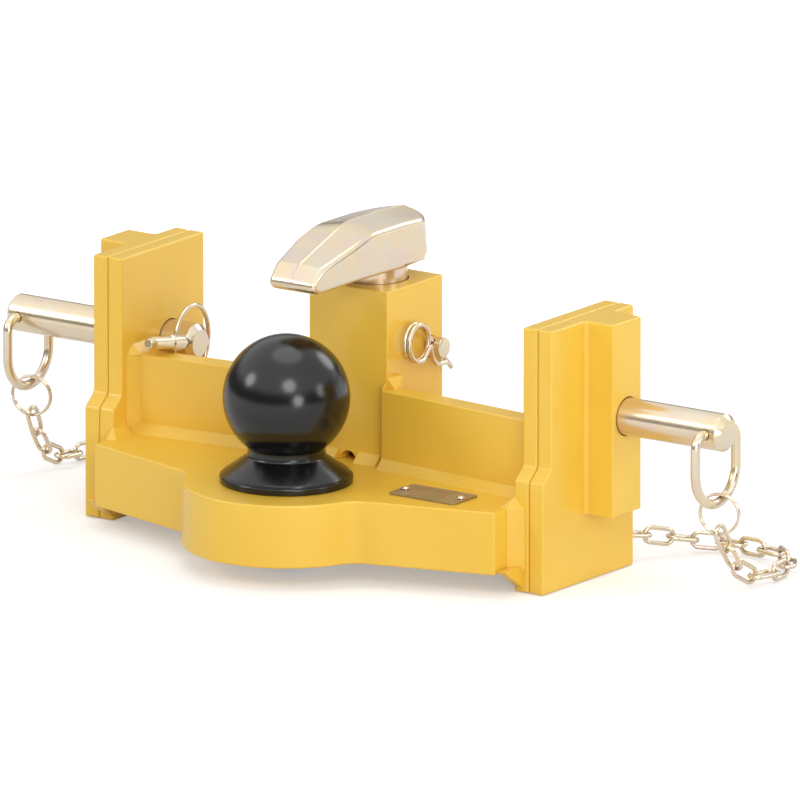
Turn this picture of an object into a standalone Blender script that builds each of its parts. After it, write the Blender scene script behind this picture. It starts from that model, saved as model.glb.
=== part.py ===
# Ball hitch for an agricultural tractor: an 80 mm ball with a swivelling hold-down,
# welded on a carriage that slides into the tractor's hitch ladder and is pinned there.
# Lengths are in metres. The working frame has its origin under the ball's axis, on the
# floor: X across, Y back from the ball, Z up. The carriage empty shifts all of it so that
# the world origin lies under the middle of the part.
import math

import bmesh
import bpy
from mathutils import Matrix, Vector

CLEARANCE = 0.0003

RAIL_SPAN = 0.395
RAIL_PROUD = 0.0211
RAIL_WIDTH = 0.0305
RAIL_AXIS = 0.08975
RAIL_FOOT = 0.0437
RAIL_ROOT_FILLET = 0.003

LAYER_THICKNESS = 0.011
PLATE_HEIGHT = 0.1677
PLATE_FRONT = 0.0377
PLATE_STEP = 0.0093
PLATE_STEP_TOP = 0.0793
PLATE_REAR = 0.1268
PLATE_CHAMFER = 0.001

BASE_UNDERSIDE = 0.014
BASE_THICKNESS = 0.0405
BASE_EDGE_AT_PLATE = 0.0075
BASE_EDGE_SLOPE = math.radians(15.6)
BASE_CHAMFER = 0.001
NOSE_RADIUS = 0.0655
NOSE_FILLET = 0.018

BALL_DIAMETER = 0.080
BALL_RISE = 0.0539
NECK_DIAMETER = 0.050
NECK_FOOT_RISE = 0.0151
CONE_DIAMETER = 0.069
CONE_RISE = 0.0032
FLANGE_DIAMETER = 0.084
FLANGE_THICKNESS = 0.0025
SHANK_DIAMETER = 0.036
WASHER_DIAMETER = 0.066
WASHER_THICKNESS = 0.0025
NUT_ACROSS_CORNERS = 0.060
NUT_THICKNESS = 0.0095
NUT_RECESS = 0.006
NUT_RECESS_DIAMETER = 0.074

BLOCK_SIDE = 0.060
BLOCK_REAR = 0.1265
BLOCK_TOP = 0.1663
BLOCK_CHAMFER = 0.0008
DRAIN_RADIUS = 0.006
DRAIN_WELD_GAP = 0.015

WING_BELOW_PIN = 0.0018
WING_THICKNESS = 0.015
WING_FRONT_AT_BLOCK = 0.0605
WING_FRONT_AT_PLATE = 0.0491

FOOT_WELD = 0.007
SIDE_WELD = 0.0065
FRONT_WELD = 0.008
WELD_SINK = 0.001

SHAFT_DIAMETER = 0.040
SHAFT_AXIS = 0.0965
WAIST_DIAMETER = 0.020
SPIGOT_DIAMETER = 0.026
SPIGOT_DEPTH = 0.014

ARM_NOSE_HALF = 0.0175
ARM_HALF = 0.0225
ARM_NOSE = 0.0046
ARM_NOSE_STRAIGHT = 0.012
ARM_WIDE_FROM = 0.045
ARM_REAR = 0.126
ARM_REAR_CORNER = 0.014
ARM_UNDERSIDE = 0.178

CROSS_PIN_DIAMETER = 0.013
CROSS_PIN_BACK = 0.1135
CROSS_PIN_HEIGHT = 0.1228
CROSS_PIN_END = 0.041
CROSS_PIN_HEAD_DIAMETER = 0.020
CROSS_PIN_HEAD_THICKNESS = 0.006

CLIP_WIRE = 0.0035
CLIP_HOLE_FROM_END = 0.0066
CLIP_COIL_RADIUS = 0.01025
CLIP_COIL_PITCH = 0.0037
CLIP_COIL_DISTANCE = 0.0271
CLIP_TIP_LENGTH = 0.018
CLIP_LEAN = math.radians(45)

LOCK_PIN_DIAMETER = 0.024
LOCK_PIN_HEIGHT = 0.1063
LOCK_PIN_INSIDE = 0.0235
LOCK_PIN_OUTSIDE = 0.0985
LOCK_PIN_CHAMFER = 0.0025

RING_WIRE = 0.0062
RING_HOLE_FROM_END = 0.0103
RING_HALF_WIDTH = 0.022
RING_DROP = 0.0465
RING_CORNER = 0.008

LINCH_FROM_END = 0.0059
LINCH_DIAMETER = 0.008
LINCH_HEAD_DIAMETER = 0.0105
LINCH_TILT = math.radians(10)
LINCH_TIP = -0.0146
LINCH_HEAD_START = 0.0128
LINCH_HEAD_END = 0.049
BAIL_WIRE = 0.003
BAIL_PIVOT = 0.0195
BAIL_CENTRE = 0.002
BAIL_HALF_LENGTH = 0.0185
BAIL_HALF_HEIGHT = 0.0235

SPLIT_RING_RADIUS = 0.0127
SPLIT_RING_WIRE = 0.0016
SPLIT_RING_PITCH = 0.0019
SPLIT_RING_TURN = math.radians(15)

LINK_COUNT = 14
LINK_WIRE = 0.0028
LINK_WIDTH = 0.0125
LINK_PLAY = 0.0011
LINK_LIFT = 0.0004

EYE_WIRE = 0.0046
EYE_RADIUS = 0.007
EYE_HEIGHT = 0.0165
EYE_LEG = 0.002

LABEL_FROM_CHEEK = 0.0571
LABEL_BACK = 0.0219
LABEL_LENGTH = 0.050
LABEL_WIDTH = 0.027
LABEL_THICKNESS = 0.001
RIVET_SPACING = 0.0425
RIVET_DIAMETER = 0.003
RIVET_HEAD_DIAMETER = 0.0055
RIVET_DEPTH = 0.006

BASE_TOP = BASE_UNDERSIDE + BASE_THICKNESS
GUIDE_OUTER = RAIL_SPAN / 2 - RAIL_PROUD
GUIDE_INNER = GUIDE_OUTER - LAYER_THICKNESS
CHEEK_OUTER = GUIDE_INNER - CLEARANCE
CHEEK_INNER = CHEEK_OUTER - LAYER_THICKNESS
LOWER_FRONT = PLATE_FRONT - PLATE_STEP
WING_TOP = LOCK_PIN_HEIGHT - WING_BELOW_PIN
BLOCK_HALF = BLOCK_SIDE / 2
BLOCK_FRONT = BLOCK_REAR - BLOCK_SIDE
WELD_FLOOR = BASE_TOP + CLEARANCE
BALL_HEIGHT = BASE_TOP + BALL_RISE
LOCK_PIN_INNER = CHEEK_INNER - LOCK_PIN_INSIDE
LOCK_PIN_OUTER = GUIDE_OUTER + LOCK_PIN_OUTSIDE
RING_X = LOCK_PIN_OUTER - RING_HOLE_FROM_END
LINCH_X = LOCK_PIN_INNER + LINCH_FROM_END
CLIP_X = CROSS_PIN_END - CLIP_HOLE_FROM_END
EYE_X = (CHEEK_INNER + GUIDE_OUTER) / 2
EYE_BACK = PLATE_REAR + CLEARANCE + EYE_LEG + EYE_RADIUS
FRAME_BACK = EYE_BACK + EYE_WIRE / 2
FRAME_SHIFT = -(FRAME_BACK - NOSE_RADIUS) / 2

PLATE_LABEL = (CHEEK_INNER - LABEL_FROM_CHEEK, LABEL_BACK)
CHAIN_FLOOR = LINK_WIDTH / 2 + LINK_LIFT

SIDES = (("left", -1), ("right", 1))

# Where each chain goes from its split ring: down, round in a loop on the floor and up to the
# rear of the side plate. Distances outwards and back are from the D-ring's bar, and those of
# the last stops from the chain eye.
CHAIN_ROUTES = {
    "left": (
        (0.0000, 0.0088, 0.0292),
        (-0.0003, 0.0163, 0.0154),
        (-0.0010, 0.0270, 0.0083),
        (-0.0020, 0.0395, CHAIN_FLOOR),
        (-0.0035, 0.0543, CHAIN_FLOOR),
        (-0.0085, 0.0753, CHAIN_FLOOR),
        (-0.0225, 0.0943, CHAIN_FLOOR),
        (-0.0445, 0.1013, CHAIN_FLOOR),
        (-0.0655, 0.0963, CHAIN_FLOOR),
    ),
    "right": (
        (0.0000, 0.0123, 0.0285),
        (0.0005, 0.0223, 0.0140),
        (0.0035, 0.0333, CHAIN_FLOOR),
        (0.0085, 0.0455, CHAIN_FLOOR),
        (0.0095, 0.0605, CHAIN_FLOOR),
        (0.0010, 0.0785, CHAIN_FLOOR),
        (-0.0165, 0.0923, CHAIN_FLOOR),
        (-0.0365, 0.0960, CHAIN_FLOOR),
        (-0.0555, 0.0965, CHAIN_FLOOR),
        (-0.0715, 0.0935, CHAIN_FLOOR),
    ),
}
CHAIN_END = (
    (0.0205, 0.0330, 0.0095),
    (0.0075, 0.0140, 0.0140),
    (-0.0012, -EYE_WIRE / 2 - CLEARANCE, EYE_HEIGHT + CLEARANCE),
)

# Ridge of the hold-down arm: distance back, height and fall of its roof to the sides.
ARM_RIDGE = (
    (ARM_NOSE, 0.1760, 0.0),
    (0.0060, 0.1800, 0.0),
    (0.0080, 0.1834, 0.02),
    (0.0145, 0.1912, 0.04),
    (0.0425, 0.2014, 0.10),
    (0.0636, 0.2088, 0.19),
    (0.0970, 0.2087, 0.21),
    (0.1170, 0.2077, 0.25),
    (0.1300, 0.2066, 0.26),
)
ARM_SOLE = (
    (0.1300, ARM_UNDERSIDE),
    (0.0400, ARM_UNDERSIDE),
    (0.0200, 0.1758),
    (0.0080, 0.1752),
)


def clear_scene():
    for item in list(bpy.data.objects):
        bpy.data.objects.remove(item, do_unlink=True)


def make_collection(name):
    collection = bpy.data.collections.new(name)
    bpy.context.scene.collection.children.link(collection)
    return collection


def make_material(name, colour, roughness, metallic):
    material = bpy.data.materials.new(name)
    material.use_nodes = True
    shader = material.node_tree.nodes["Principled BSDF"]
    shader.inputs["Base Color"].default_value = (*colour, 1.0)
    shader.inputs["Roughness"].default_value = roughness
    shader.inputs["Metallic"].default_value = metallic
    material.diffuse_color = (*colour, 1.0)
    return material


def paint(name):
    return make_material(name + "_paint", (0.80, 0.46, 0.07), 0.42, 0.0)


def zinc(name):
    return make_material(name + "_zinc", (0.72, 0.64, 0.50), 0.34, 0.9)


def black(name):
    return make_material(name + "_black", (0.012, 0.012, 0.013), 0.16, 0.0)


def bare(name):
    return make_material(name + "_bare", (0.36, 0.27, 0.15), 0.45, 0.8)


def finish(item, material, smooth=False):
    # A finished piece goes in the parts collection, on the carriage, in its own material.
    for home in list(item.users_collection):
        home.objects.unlink(item)
    parts.objects.link(item)
    item.data.materials.clear()
    item.data.materials.append(material)
    item.parent = carriage
    if smooth and item.type == "MESH":
        for face in item.data.polygons:
            face.use_smooth = True
    return item


def helper(item):
    # A cutter or a bead that is fused into another piece is kept out of the render.
    for home in list(item.users_collection):
        home.objects.unlink(item)
    cutters.objects.link(item)
    item.parent = carriage
    item.hide_render = True
    item.display_type = "WIRE"
    return item


def mesh_object(name, shape):
    shape.normal_update()
    bmesh.ops.recalc_face_normals(shape, faces=shape.faces)
    mesh = bpy.data.meshes.new(name)
    shape.to_mesh(mesh)
    shape.free()
    item = bpy.data.objects.new(name, mesh)
    parts.objects.link(item)
    return item


def hull(name, points):
    shape = bmesh.new()
    for point in points:
        shape.verts.new(point)
    made = bmesh.ops.convex_hull(shape, input=shape.verts)
    spare = set(made["geom_interior"]) | set(made["geom_unused"])
    loose = [item for item in spare if isinstance(item, bmesh.types.BMVert)]
    bmesh.ops.delete(shape, geom=loose, context="VERTS")
    flat = math.radians(0.5)
    bmesh.ops.dissolve_limit(shape, angle_limit=flat, verts=shape.verts, edges=shape.edges)
    return mesh_object(name, shape)


def box(name, low, high):
    shape = bmesh.new()
    bmesh.ops.create_cube(shape, size=1.0)
    size = Vector(high) - Vector(low)
    middle = (Vector(high) + Vector(low)) / 2
    bmesh.ops.scale(shape, vec=size, verts=shape.verts)
    bmesh.ops.translate(shape, vec=middle, verts=shape.verts)
    return mesh_object(name, shape)


def rod(name, start, end, radius, sides=24):
    start = Vector(start)
    end = Vector(end)
    shape = bmesh.new()
    bmesh.ops.create_cone(
        shape,
        cap_ends=True,
        segments=sides,
        radius1=radius,
        radius2=radius,
        depth=(end - start).length,
    )
    turn = Vector((0, 0, 1)).rotation_difference(end - start).to_matrix().to_4x4()
    shape.transform(Matrix.Translation((start + end) / 2) @ turn)
    return mesh_object(name, shape)


def turned(name, profile, steps, closed=False):
    # A profile of (radius, height) points from top to bottom, spun about Z.
    mesh = bpy.data.meshes.new(name)
    points = [(radius, 0.0, height) for radius, height in profile]
    edges = [(i, i + 1) for i in range(len(points) - 1)]
    if closed:
        edges.append((len(points) - 1, 0))
    mesh.from_pydata(points, edges, [])
    item = bpy.data.objects.new(name, mesh)
    parts.objects.link(item)
    spin = item.modifiers.new("turn", "SCREW")
    spin.steps = steps
    spin.render_steps = steps
    spin.use_merge_vertices = True
    spin.merge_threshold = 0.00005
    return item


def as_mesh(item):
    # The evaluated shape of an object, welded, in place of the object.
    bpy.context.view_layer.update()
    graph = bpy.context.evaluated_depsgraph_get()
    mesh = bpy.data.meshes.new_from_object(item.evaluated_get(graph))
    shape = bmesh.new()
    shape.from_mesh(mesh)
    bmesh.ops.remove_doubles(shape, verts=shape.verts, dist=0.000002)
    bmesh.ops.recalc_face_normals(shape, faces=shape.faces)
    shape.to_mesh(mesh)
    shape.free()
    solid = bpy.data.objects.new(item.name + "_solid", mesh)
    parts.objects.link(solid)
    solid.matrix_world = item.matrix_world
    name = item.name
    bpy.data.objects.remove(item, do_unlink=True)
    solid.name = name
    return solid


def flat_outline(name, outline, low, high, axes):
    # An outline filled and thickened from low to high along the third axis.
    curve = bpy.data.curves.new(name, "CURVE")
    curve.dimensions = "2D"
    curve.fill_mode = "BOTH"
    curve.extrude = (high - low) / 2
    spline = curve.splines.new("POLY")
    spline.points.add(len(outline) - 1)
    for point, place in zip(spline.points, outline):
        point.co = (place[0], place[1], 0.0, 1.0)
    spline.use_cyclic_u = True
    item = bpy.data.objects.new(name, curve)
    parts.objects.link(item)
    solid = as_mesh(item)
    turn = Matrix([[axes[c][r] for c in range(3)] for r in range(3)]).to_4x4()
    solid.data.transform(turn @ Matrix.Translation((0, 0, (high + low) / 2)))
    if turn.determinant() < 0:
        solid.data.flip_normals()
    return solid


ACROSS = (Vector((0, 1, 0)), Vector((0, 0, 1)), Vector((1, 0, 0)))
UPRIGHT = (Vector((1, 0, 0)), Vector((0, 1, 0)), Vector((0, 0, 1)))


def wire(name, points, diameter, cyclic=False, sides=2):
    curve = bpy.data.curves.new(name, "CURVE")
    curve.dimensions = "3D"
    curve.bevel_depth = diameter / 2
    curve.bevel_resolution = sides
    curve.use_fill_caps = True
    spline = curve.splines.new("POLY")
    spline.points.add(len(points) - 1)
    for point, place in zip(spline.points, points):
        point.co = (*place, 1.0)
    spline.use_cyclic_u = cyclic
    spline.use_smooth = True
    item = bpy.data.objects.new(name, curve)
    parts.objects.link(item)
    return item


def arc(centre, radius, first, last, steps):
    # Points of an arc in a plane, angles in degrees, both ends included.
    points = []
    for i in range(steps + 1):
        angle = math.radians(first + (last - first) * i / steps)
        points.append((centre[0] + radius * math.cos(angle), centre[1] + radius * math.sin(angle)))
    return points


def chamfer(item, width, segments=1):
    bevel = item.modifiers.new("edges", "BEVEL")
    bevel.width = width
    bevel.segments = segments
    bevel.limit_method = "ANGLE"
    bevel.angle_limit = math.radians(40)
    return item


def boolean(item, tool, operation):
    step = item.modifiers.new(operation.lower() + "_" + tool.name, "BOOLEAN")
    step.operation = operation
    step.solver = "EXACT"
    step.object = helper(tool)


def cut(item, tool):
    boolean(item, tool, "DIFFERENCE")


def fuse(item, tool):
    boolean(item, tool, "UNION")


def mirrored(points, side):
    return [(side * p[0], p[1], p[2]) for p in points]


def make_base():
    half = CHEEK_INNER - CLEARANCE
    along = Vector((math.cos(BASE_EDGE_SLOPE), math.sin(BASE_EDGE_SLOPE)))
    front = Vector((along.y, -along.x))
    line = front.dot(Vector((half, BASE_EDGE_AT_PLATE)))
    reach = math.sqrt((NOSE_RADIUS + NOSE_FILLET) ** 2 - (line + NOSE_FILLET) ** 2)
    centre = front * (line + NOSE_FILLET) + along * reach
    start = math.degrees(math.atan2(-front.y, -front.x))
    end = math.degrees(math.atan2(-centre.y, -centre.x)) % 360
    fillet = arc(centre, NOSE_FILLET, start, end, 5)
    nose_start = math.degrees(math.atan2(centre.y, centre.x))
    nose = arc((0, 0), NOSE_RADIUS, nose_start, -180 - nose_start, 22)
    right = [(half, PLATE_REAR), (half, BASE_EDGE_AT_PLATE)] + fillet
    left = [(-x, y) for x, y in reversed(right)]
    outline = right + nose[1:-1] + left
    base = flat_outline("base_plate", outline, BASE_UNDERSIDE, BASE_TOP, UPRIGHT)
    chamfer(base, BASE_CHAMFER)
    bore = SHANK_DIAMETER / 2 + CLEARANCE
    cut(base, rod("shank_bore", (0, 0, 0), (0, 0, BASE_TOP + 0.01), bore, 32))
    floor = (0, 0, BASE_UNDERSIDE + NUT_RECESS)
    cut(base, rod("nut_recess", (0, 0, 0), floor, NUT_RECESS_DIAMETER / 2, 40))
    for i, x in enumerate(rivet_places()):
        low = BASE_TOP - RIVET_DEPTH - CLEARANCE
        hole = RIVET_DIAMETER / 2 + CLEARANCE
        top = (x, PLATE_LABEL[1], BASE_TOP + 0.01)
        cut(base, rod("rivet_hole_%d" % i, (x, PLATE_LABEL[1], low), top, hole, 12))
    return finish(base, paint("base_plate"))


def plate_outline():
    half = PLATE_STEP / 2
    upper = arc((PLATE_FRONT - half, PLATE_STEP_TOP), half, 0, -90, 5)
    lower = arc((PLATE_FRONT - half, PLATE_STEP_TOP - PLATE_STEP), half, 90, 180, 5)
    corners = [(PLATE_REAR, 0.0), (PLATE_REAR, PLATE_HEIGHT), (PLATE_FRONT, PLATE_HEIGHT)]
    return corners + upper + lower[1:] + [(LOWER_FRONT, 0.0)]


def pin_bore(name, side):
    radius = LOCK_PIN_DIAMETER / 2 + CLEARANCE
    start = (side * (CHEEK_INNER - 0.01), RAIL_AXIS, LOCK_PIN_HEIGHT)
    end = (side * (RAIL_SPAN / 2 + 0.01), RAIL_AXIS, LOCK_PIN_HEIGHT)
    return rod(name, start, end, radius, 32)


def make_guide(name, side):
    low = min(side * GUIDE_INNER, side * GUIDE_OUTER)
    high = max(side * GUIDE_INNER, side * GUIDE_OUTER)
    guide = flat_outline("guide_" + name, plate_outline(), low, high, ACROSS)
    chamfer(guide, PLATE_CHAMFER)
    rail = flat_outline("rail_" + name, rail_outline(side), RAIL_FOOT, PLATE_HEIGHT, UPRIGHT)
    chamfer(rail, PLATE_CHAMFER)
    fuse(guide, rail)
    cut(guide, pin_bore("guide_bore_" + name, side))
    return finish(guide, paint("guide_" + name))


def rail_outline(side):
    # Plan of the rail: a bar with a fillet at each root, sunk into the guide's plate.
    root = GUIDE_OUTER - 0.003
    face = RAIL_SPAN / 2
    front = RAIL_AXIS - RAIL_WIDTH / 2
    rear = RAIL_AXIS + RAIL_WIDTH / 2
    radius = RAIL_ROOT_FILLET
    front_root = arc((GUIDE_OUTER + radius, front - radius), radius, 180, 90, 4)
    rear_root = arc((GUIDE_OUTER + radius, rear + radius), radius, 270, 180, 4)
    outline = [(root, front - radius)] + front_root + [(face, front), (face, rear)]
    outline = outline + rear_root + [(root, rear + radius)]
    return [(side * x, y) for x, y in outline]


def make_cheek(name, side):
    low = min(side * CHEEK_INNER, side * CHEEK_OUTER)
    high = max(side * CHEEK_INNER, side * CHEEK_OUTER)
    cheek = flat_outline("cheek_" + name, plate_outline(), low, high, ACROSS)
    chamfer(cheek, PLATE_CHAMFER)
    fuse(cheek, front_bead(name, side))
    fuse(cheek, corner_bead(name, side))
    fuse(cheek, inner_bead(name, side))
    cut(cheek, pin_bore("cheek_bore_" + name, side))
    return finish(cheek, paint("cheek_" + name))


def front_bead(name, side):
    # Upright bead between the base's end and the cheek's front edge.
    sink = LOWER_FRONT + WELD_SINK
    corners = (
        (CHEEK_INNER, sink),
        (CHEEK_INNER, LOWER_FRONT - FRONT_WELD),
        (CHEEK_INNER + FRONT_WELD + WELD_SINK, sink),
    )
    points = [(x, y, z) for x, y in corners for z in (BASE_UNDERSIDE, WELD_FLOOR + 0.0001)]
    return hull("front_bead_" + name, mirrored(points, side))


def corner_bead(name, side):
    # The bead runs on under the base's end and falls away to the cheek's front foot. It stays
    # well inside the faces that it meets, so that none lie in one plane.
    inset = 2 * CLEARANCE
    front = BASE_EDGE_AT_PLATE + BASE_CHAMFER
    sink = LOWER_FRONT + 2 * WELD_SINK
    top = BASE_UNDERSIDE + 3 * WELD_SINK
    points = []
    for x in (CHEEK_INNER + inset, CHEEK_INNER + FRONT_WELD - 2 * inset):
        points.append((x, front, top))
        points.append((x, sink, top))
        points.append((x, sink, PLATE_CHAMFER + inset))
    return hull("corner_bead_" + name, mirrored(points, side))


def inner_bead(name, side):
    # Bead along the cheek's foot on the base, mitred round its front corner.
    leg = FOOT_WELD
    sink = CHEEK_INNER + PLATE_CHAMFER + WELD_SINK
    back = WING_FRONT_AT_PLATE - FOOT_WELD - 2 * CLEARANCE
    top = WELD_FLOOR + leg
    points = [
        (sink, back, WELD_FLOOR),
        (CHEEK_INNER - leg, back, WELD_FLOOR),
        (sink, back, top),
        (CHEEK_INNER - leg, LOWER_FRONT - leg, WELD_FLOOR),
        (CHEEK_INNER, LOWER_FRONT - FRONT_WELD, WELD_FLOOR),
        (CHEEK_INNER + FRONT_WELD, LOWER_FRONT, WELD_FLOOR),
        (CHEEK_INNER + FRONT_WELD, LOWER_FRONT + 2 * WELD_SINK, WELD_FLOOR),
        (sink, LOWER_FRONT, top),
        (CHEEK_INNER, LOWER_FRONT, top),
        (CHEEK_INNER, back, top),
    ]
    return hull("inner_bead_" + name, mirrored(points, side))


def wing_front(x):
    span = CHEEK_INNER - BLOCK_HALF
    share = (x - BLOCK_HALF) / span
    return WING_FRONT_AT_BLOCK + (WING_FRONT_AT_PLATE - WING_FRONT_AT_BLOCK) * share


def make_wing(name, side):
    inner = BLOCK_HALF + CLEARANCE
    outer = CHEEK_INNER - CLEARANCE
    lean = math.atan((WING_FRONT_AT_BLOCK - WING_FRONT_AT_PLATE) / (CHEEK_INNER - BLOCK_HALF))
    depth = WING_THICKNESS / math.cos(lean)
    points = []
    for x in (inner, outer):
        for y in (wing_front(x), wing_front(x) + depth):
            points.append((x, y, WELD_FLOOR))
            points.append((x, y, WING_TOP))
    wing = hull("wing_" + name, mirrored(points, side))
    fuse(wing, wing_foot_bead(name, side, inner, outer))
    fuse(wing, wing_side_bead(name, side, outer, depth))
    fuse(wing, wing_block_bead(name, side, inner, depth))
    return finish(wing, paint("wing_" + name))


def wing_foot_bead(name, side, inner, outer):
    points = []
    for x in (inner, outer):
        front = wing_front(x)
        points.append((x, front + WELD_SINK, WELD_FLOOR))
        points.append((x, front - FOOT_WELD, WELD_FLOOR))
        points.append((x, front, WELD_FLOOR + FOOT_WELD))
        points.append((x, front + WELD_SINK, WELD_FLOOR + FOOT_WELD))
    return hull("wing_foot_bead_" + name, mirrored(points, side))


def wing_side_bead(name, side, outer, depth):
    # Upright bead against the cheek that turns back over the wing's top.
    leg = SIDE_WELD
    front = wing_front(outer)
    back = front + depth
    upright = []
    for z in (WELD_FLOOR, WING_TOP):
        upright.append((outer, front + WELD_SINK, z))
        upright.append((outer, front - leg, z))
        upright.append((outer - leg, front + WELD_SINK, z))
    bead = hull("wing_side_bead_" + name, mirrored(upright, side))
    over = [(outer, front - leg, WING_TOP - 0.0001)]
    for y in (front, back - WELD_SINK):
        over.append((outer, y, WING_TOP - WELD_SINK))
        over.append((outer, y, WING_TOP + leg))
        over.append((outer - leg, y, WING_TOP - WELD_SINK))
        over.append((outer - leg, y, WING_TOP - 0.0001))
    fuse(bead, hull("wing_top_bead_" + name, mirrored(over, side)))
    return as_mesh(bead)


def wing_block_bead(name, side, inner, depth):
    # Bead on the wing's top against the block's side.
    leg = SIDE_WELD
    front = BLOCK_FRONT
    back = wing_front(inner) + depth - WELD_SINK
    points = []
    for y in (front, back):
        points.append((inner, y, WING_TOP - WELD_SINK))
        points.append((inner, y, WING_TOP + leg))
        points.append((inner + leg, y, WING_TOP - WELD_SINK))
        points.append((inner + leg, y, WING_TOP - 0.0001))
    points.append((inner, front - leg + 0.0015, WING_TOP - WELD_SINK))
    return hull("wing_block_bead_" + name, mirrored(points, side))


def make_block():
    low = (-BLOCK_HALF, BLOCK_FRONT, WELD_FLOOR)
    high = (BLOCK_HALF, BLOCK_REAR, BLOCK_TOP)
    block = chamfer(box("block", low, high), BLOCK_CHAMFER)
    for name, side in SIDES:
        fuse(block, block_bead(name, side))
    bore = SHAFT_DIAMETER / 2 + CLEARANCE
    cut(block, rod("shaft_bore", (0, SHAFT_AXIS, 0.04), (0, SHAFT_AXIS, 0.2), bore, 40))
    radius = CROSS_PIN_DIAMETER / 2 + CLEARANCE
    start = (-0.05, CROSS_PIN_BACK, CROSS_PIN_HEIGHT)
    end = (0.05, CROSS_PIN_BACK, CROSS_PIN_HEIGHT)
    cut(block, rod("cross_pin_bore", start, end, radius, 24))
    drain_end = (0, SHAFT_AXIS, WELD_FLOOR)
    cut(block, rod("drain", (0, BLOCK_FRONT - 0.02, WELD_FLOOR), drain_end, DRAIN_RADIUS, 24))
    return finish(block, paint("block"))


def block_bead(name, side):
    inner = DRAIN_WELD_GAP / 2
    outer = BLOCK_HALF - SIDE_WELD
    sink = BLOCK_FRONT + BLOCK_CHAMFER + WELD_SINK
    points = []
    for x in (inner, outer):
        points.append((x, sink, WELD_FLOOR))
        points.append((x, BLOCK_FRONT - FOOT_WELD, WELD_FLOOR))
        points.append((x, BLOCK_FRONT, WELD_FLOOR + FOOT_WELD))
        points.append((x, sink, WELD_FLOOR + FOOT_WELD))
    return hull("block_bead_" + name, mirrored(points, side))


def make_ball():
    radius = BALL_DIAMETER / 2
    neck = NECK_DIAMETER / 2
    waist = -math.degrees(math.acos(neck / radius))
    profile = [(0.0, BALL_HEIGHT + radius)]
    profile += arc((0.0, BALL_HEIGHT), radius, 84, waist, 18)
    profile.append((neck, BASE_TOP + NECK_FOOT_RISE))
    profile.append((CONE_DIAMETER / 2, BASE_TOP + CONE_RISE))
    profile.append((FLANGE_DIAMETER / 2 - 0.001, BASE_TOP + FLANGE_THICKNESS))
    profile.append((FLANGE_DIAMETER / 2, BASE_TOP + FLANGE_THICKNESS - 0.001))
    profile.append((FLANGE_DIAMETER / 2, WELD_FLOOR))
    shank = SHANK_DIAMETER / 2
    foot = BASE_UNDERSIDE + NUT_RECESS - WASHER_THICKNESS - NUT_THICKNESS - 2 * CLEARANCE
    profile.append((shank, WELD_FLOOR))
    profile.append((shank, foot + 0.001))
    profile.append((shank - 0.001, foot))
    profile.append((0.0, foot))
    return finish(turned("ball", profile, 48), black("ball"))


def make_ball_fixing():
    hole = SHANK_DIAMETER / 2 + CLEARANCE
    top = BASE_UNDERSIDE + NUT_RECESS - CLEARANCE
    low = top - WASHER_THICKNESS
    rim = WASHER_DIAMETER / 2
    section = [(hole, top), (rim, top), (rim, low), (hole, low)]
    finish(turned("ball_washer", section, 32, True), zinc("ball_washer"))
    top = low - CLEARANCE
    middle = Vector((0, 0, top - NUT_THICKNESS / 2))
    nut = rod("ball_nut", middle + Vector((0, 0, NUT_THICKNESS / 2)),
              middle - Vector((0, 0, NUT_THICKNESS / 2)), NUT_ACROSS_CORNERS / 2, 6)
    cut(nut, rod("nut_bore", (0, 0, -0.02), (0, 0, 0.03), hole, 32))
    finish(nut, zinc("ball_nut"))


def make_shaft():
    radius = SHAFT_DIAMETER / 2
    waist = WAIST_DIAMETER / 2
    half = CROSS_PIN_DIAMETER / 2 + 2 * CLEARANCE
    shoulder = ARM_UNDERSIDE - CLEARANCE
    spigot = SPIGOT_DIAMETER / 2
    profile = (
        (0.0, shoulder + SPIGOT_DEPTH),
        (spigot, shoulder + SPIGOT_DEPTH),
        (spigot, shoulder),
        (radius, shoulder),
        (radius, CROSS_PIN_HEIGHT + half),
        (waist, CROSS_PIN_HEIGHT + half),
        (waist, CROSS_PIN_HEIGHT - half),
        (radius, CROSS_PIN_HEIGHT - half),
        (radius, WELD_FLOOR + 0.002),
        (radius - 0.002, WELD_FLOOR),
        (0.0, WELD_FLOOR),
    )
    shaft = turned("hold_down_shaft", profile, 40)
    shaft.location = (0, SHAFT_AXIS, 0)
    return finish(shaft, zinc("hold_down_shaft"))


def arm_plan():
    right = [
        (ARM_NOSE_HALF - 0.002, ARM_NOSE - 0.001),
        (ARM_NOSE_HALF, ARM_NOSE + 0.001),
        (ARM_NOSE_HALF, ARM_NOSE_STRAIGHT),
        (ARM_HALF - 0.0015, ARM_WIDE_FROM - 0.009),
        (ARM_HALF, ARM_WIDE_FROM),
    ]
    corner = (ARM_HALF - ARM_REAR_CORNER, ARM_REAR - ARM_REAR_CORNER)
    right = right + arc(corner, ARM_REAR_CORNER, 0, 90, 6)
    return right + [(-x, y) for x, y in reversed(right)]


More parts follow.
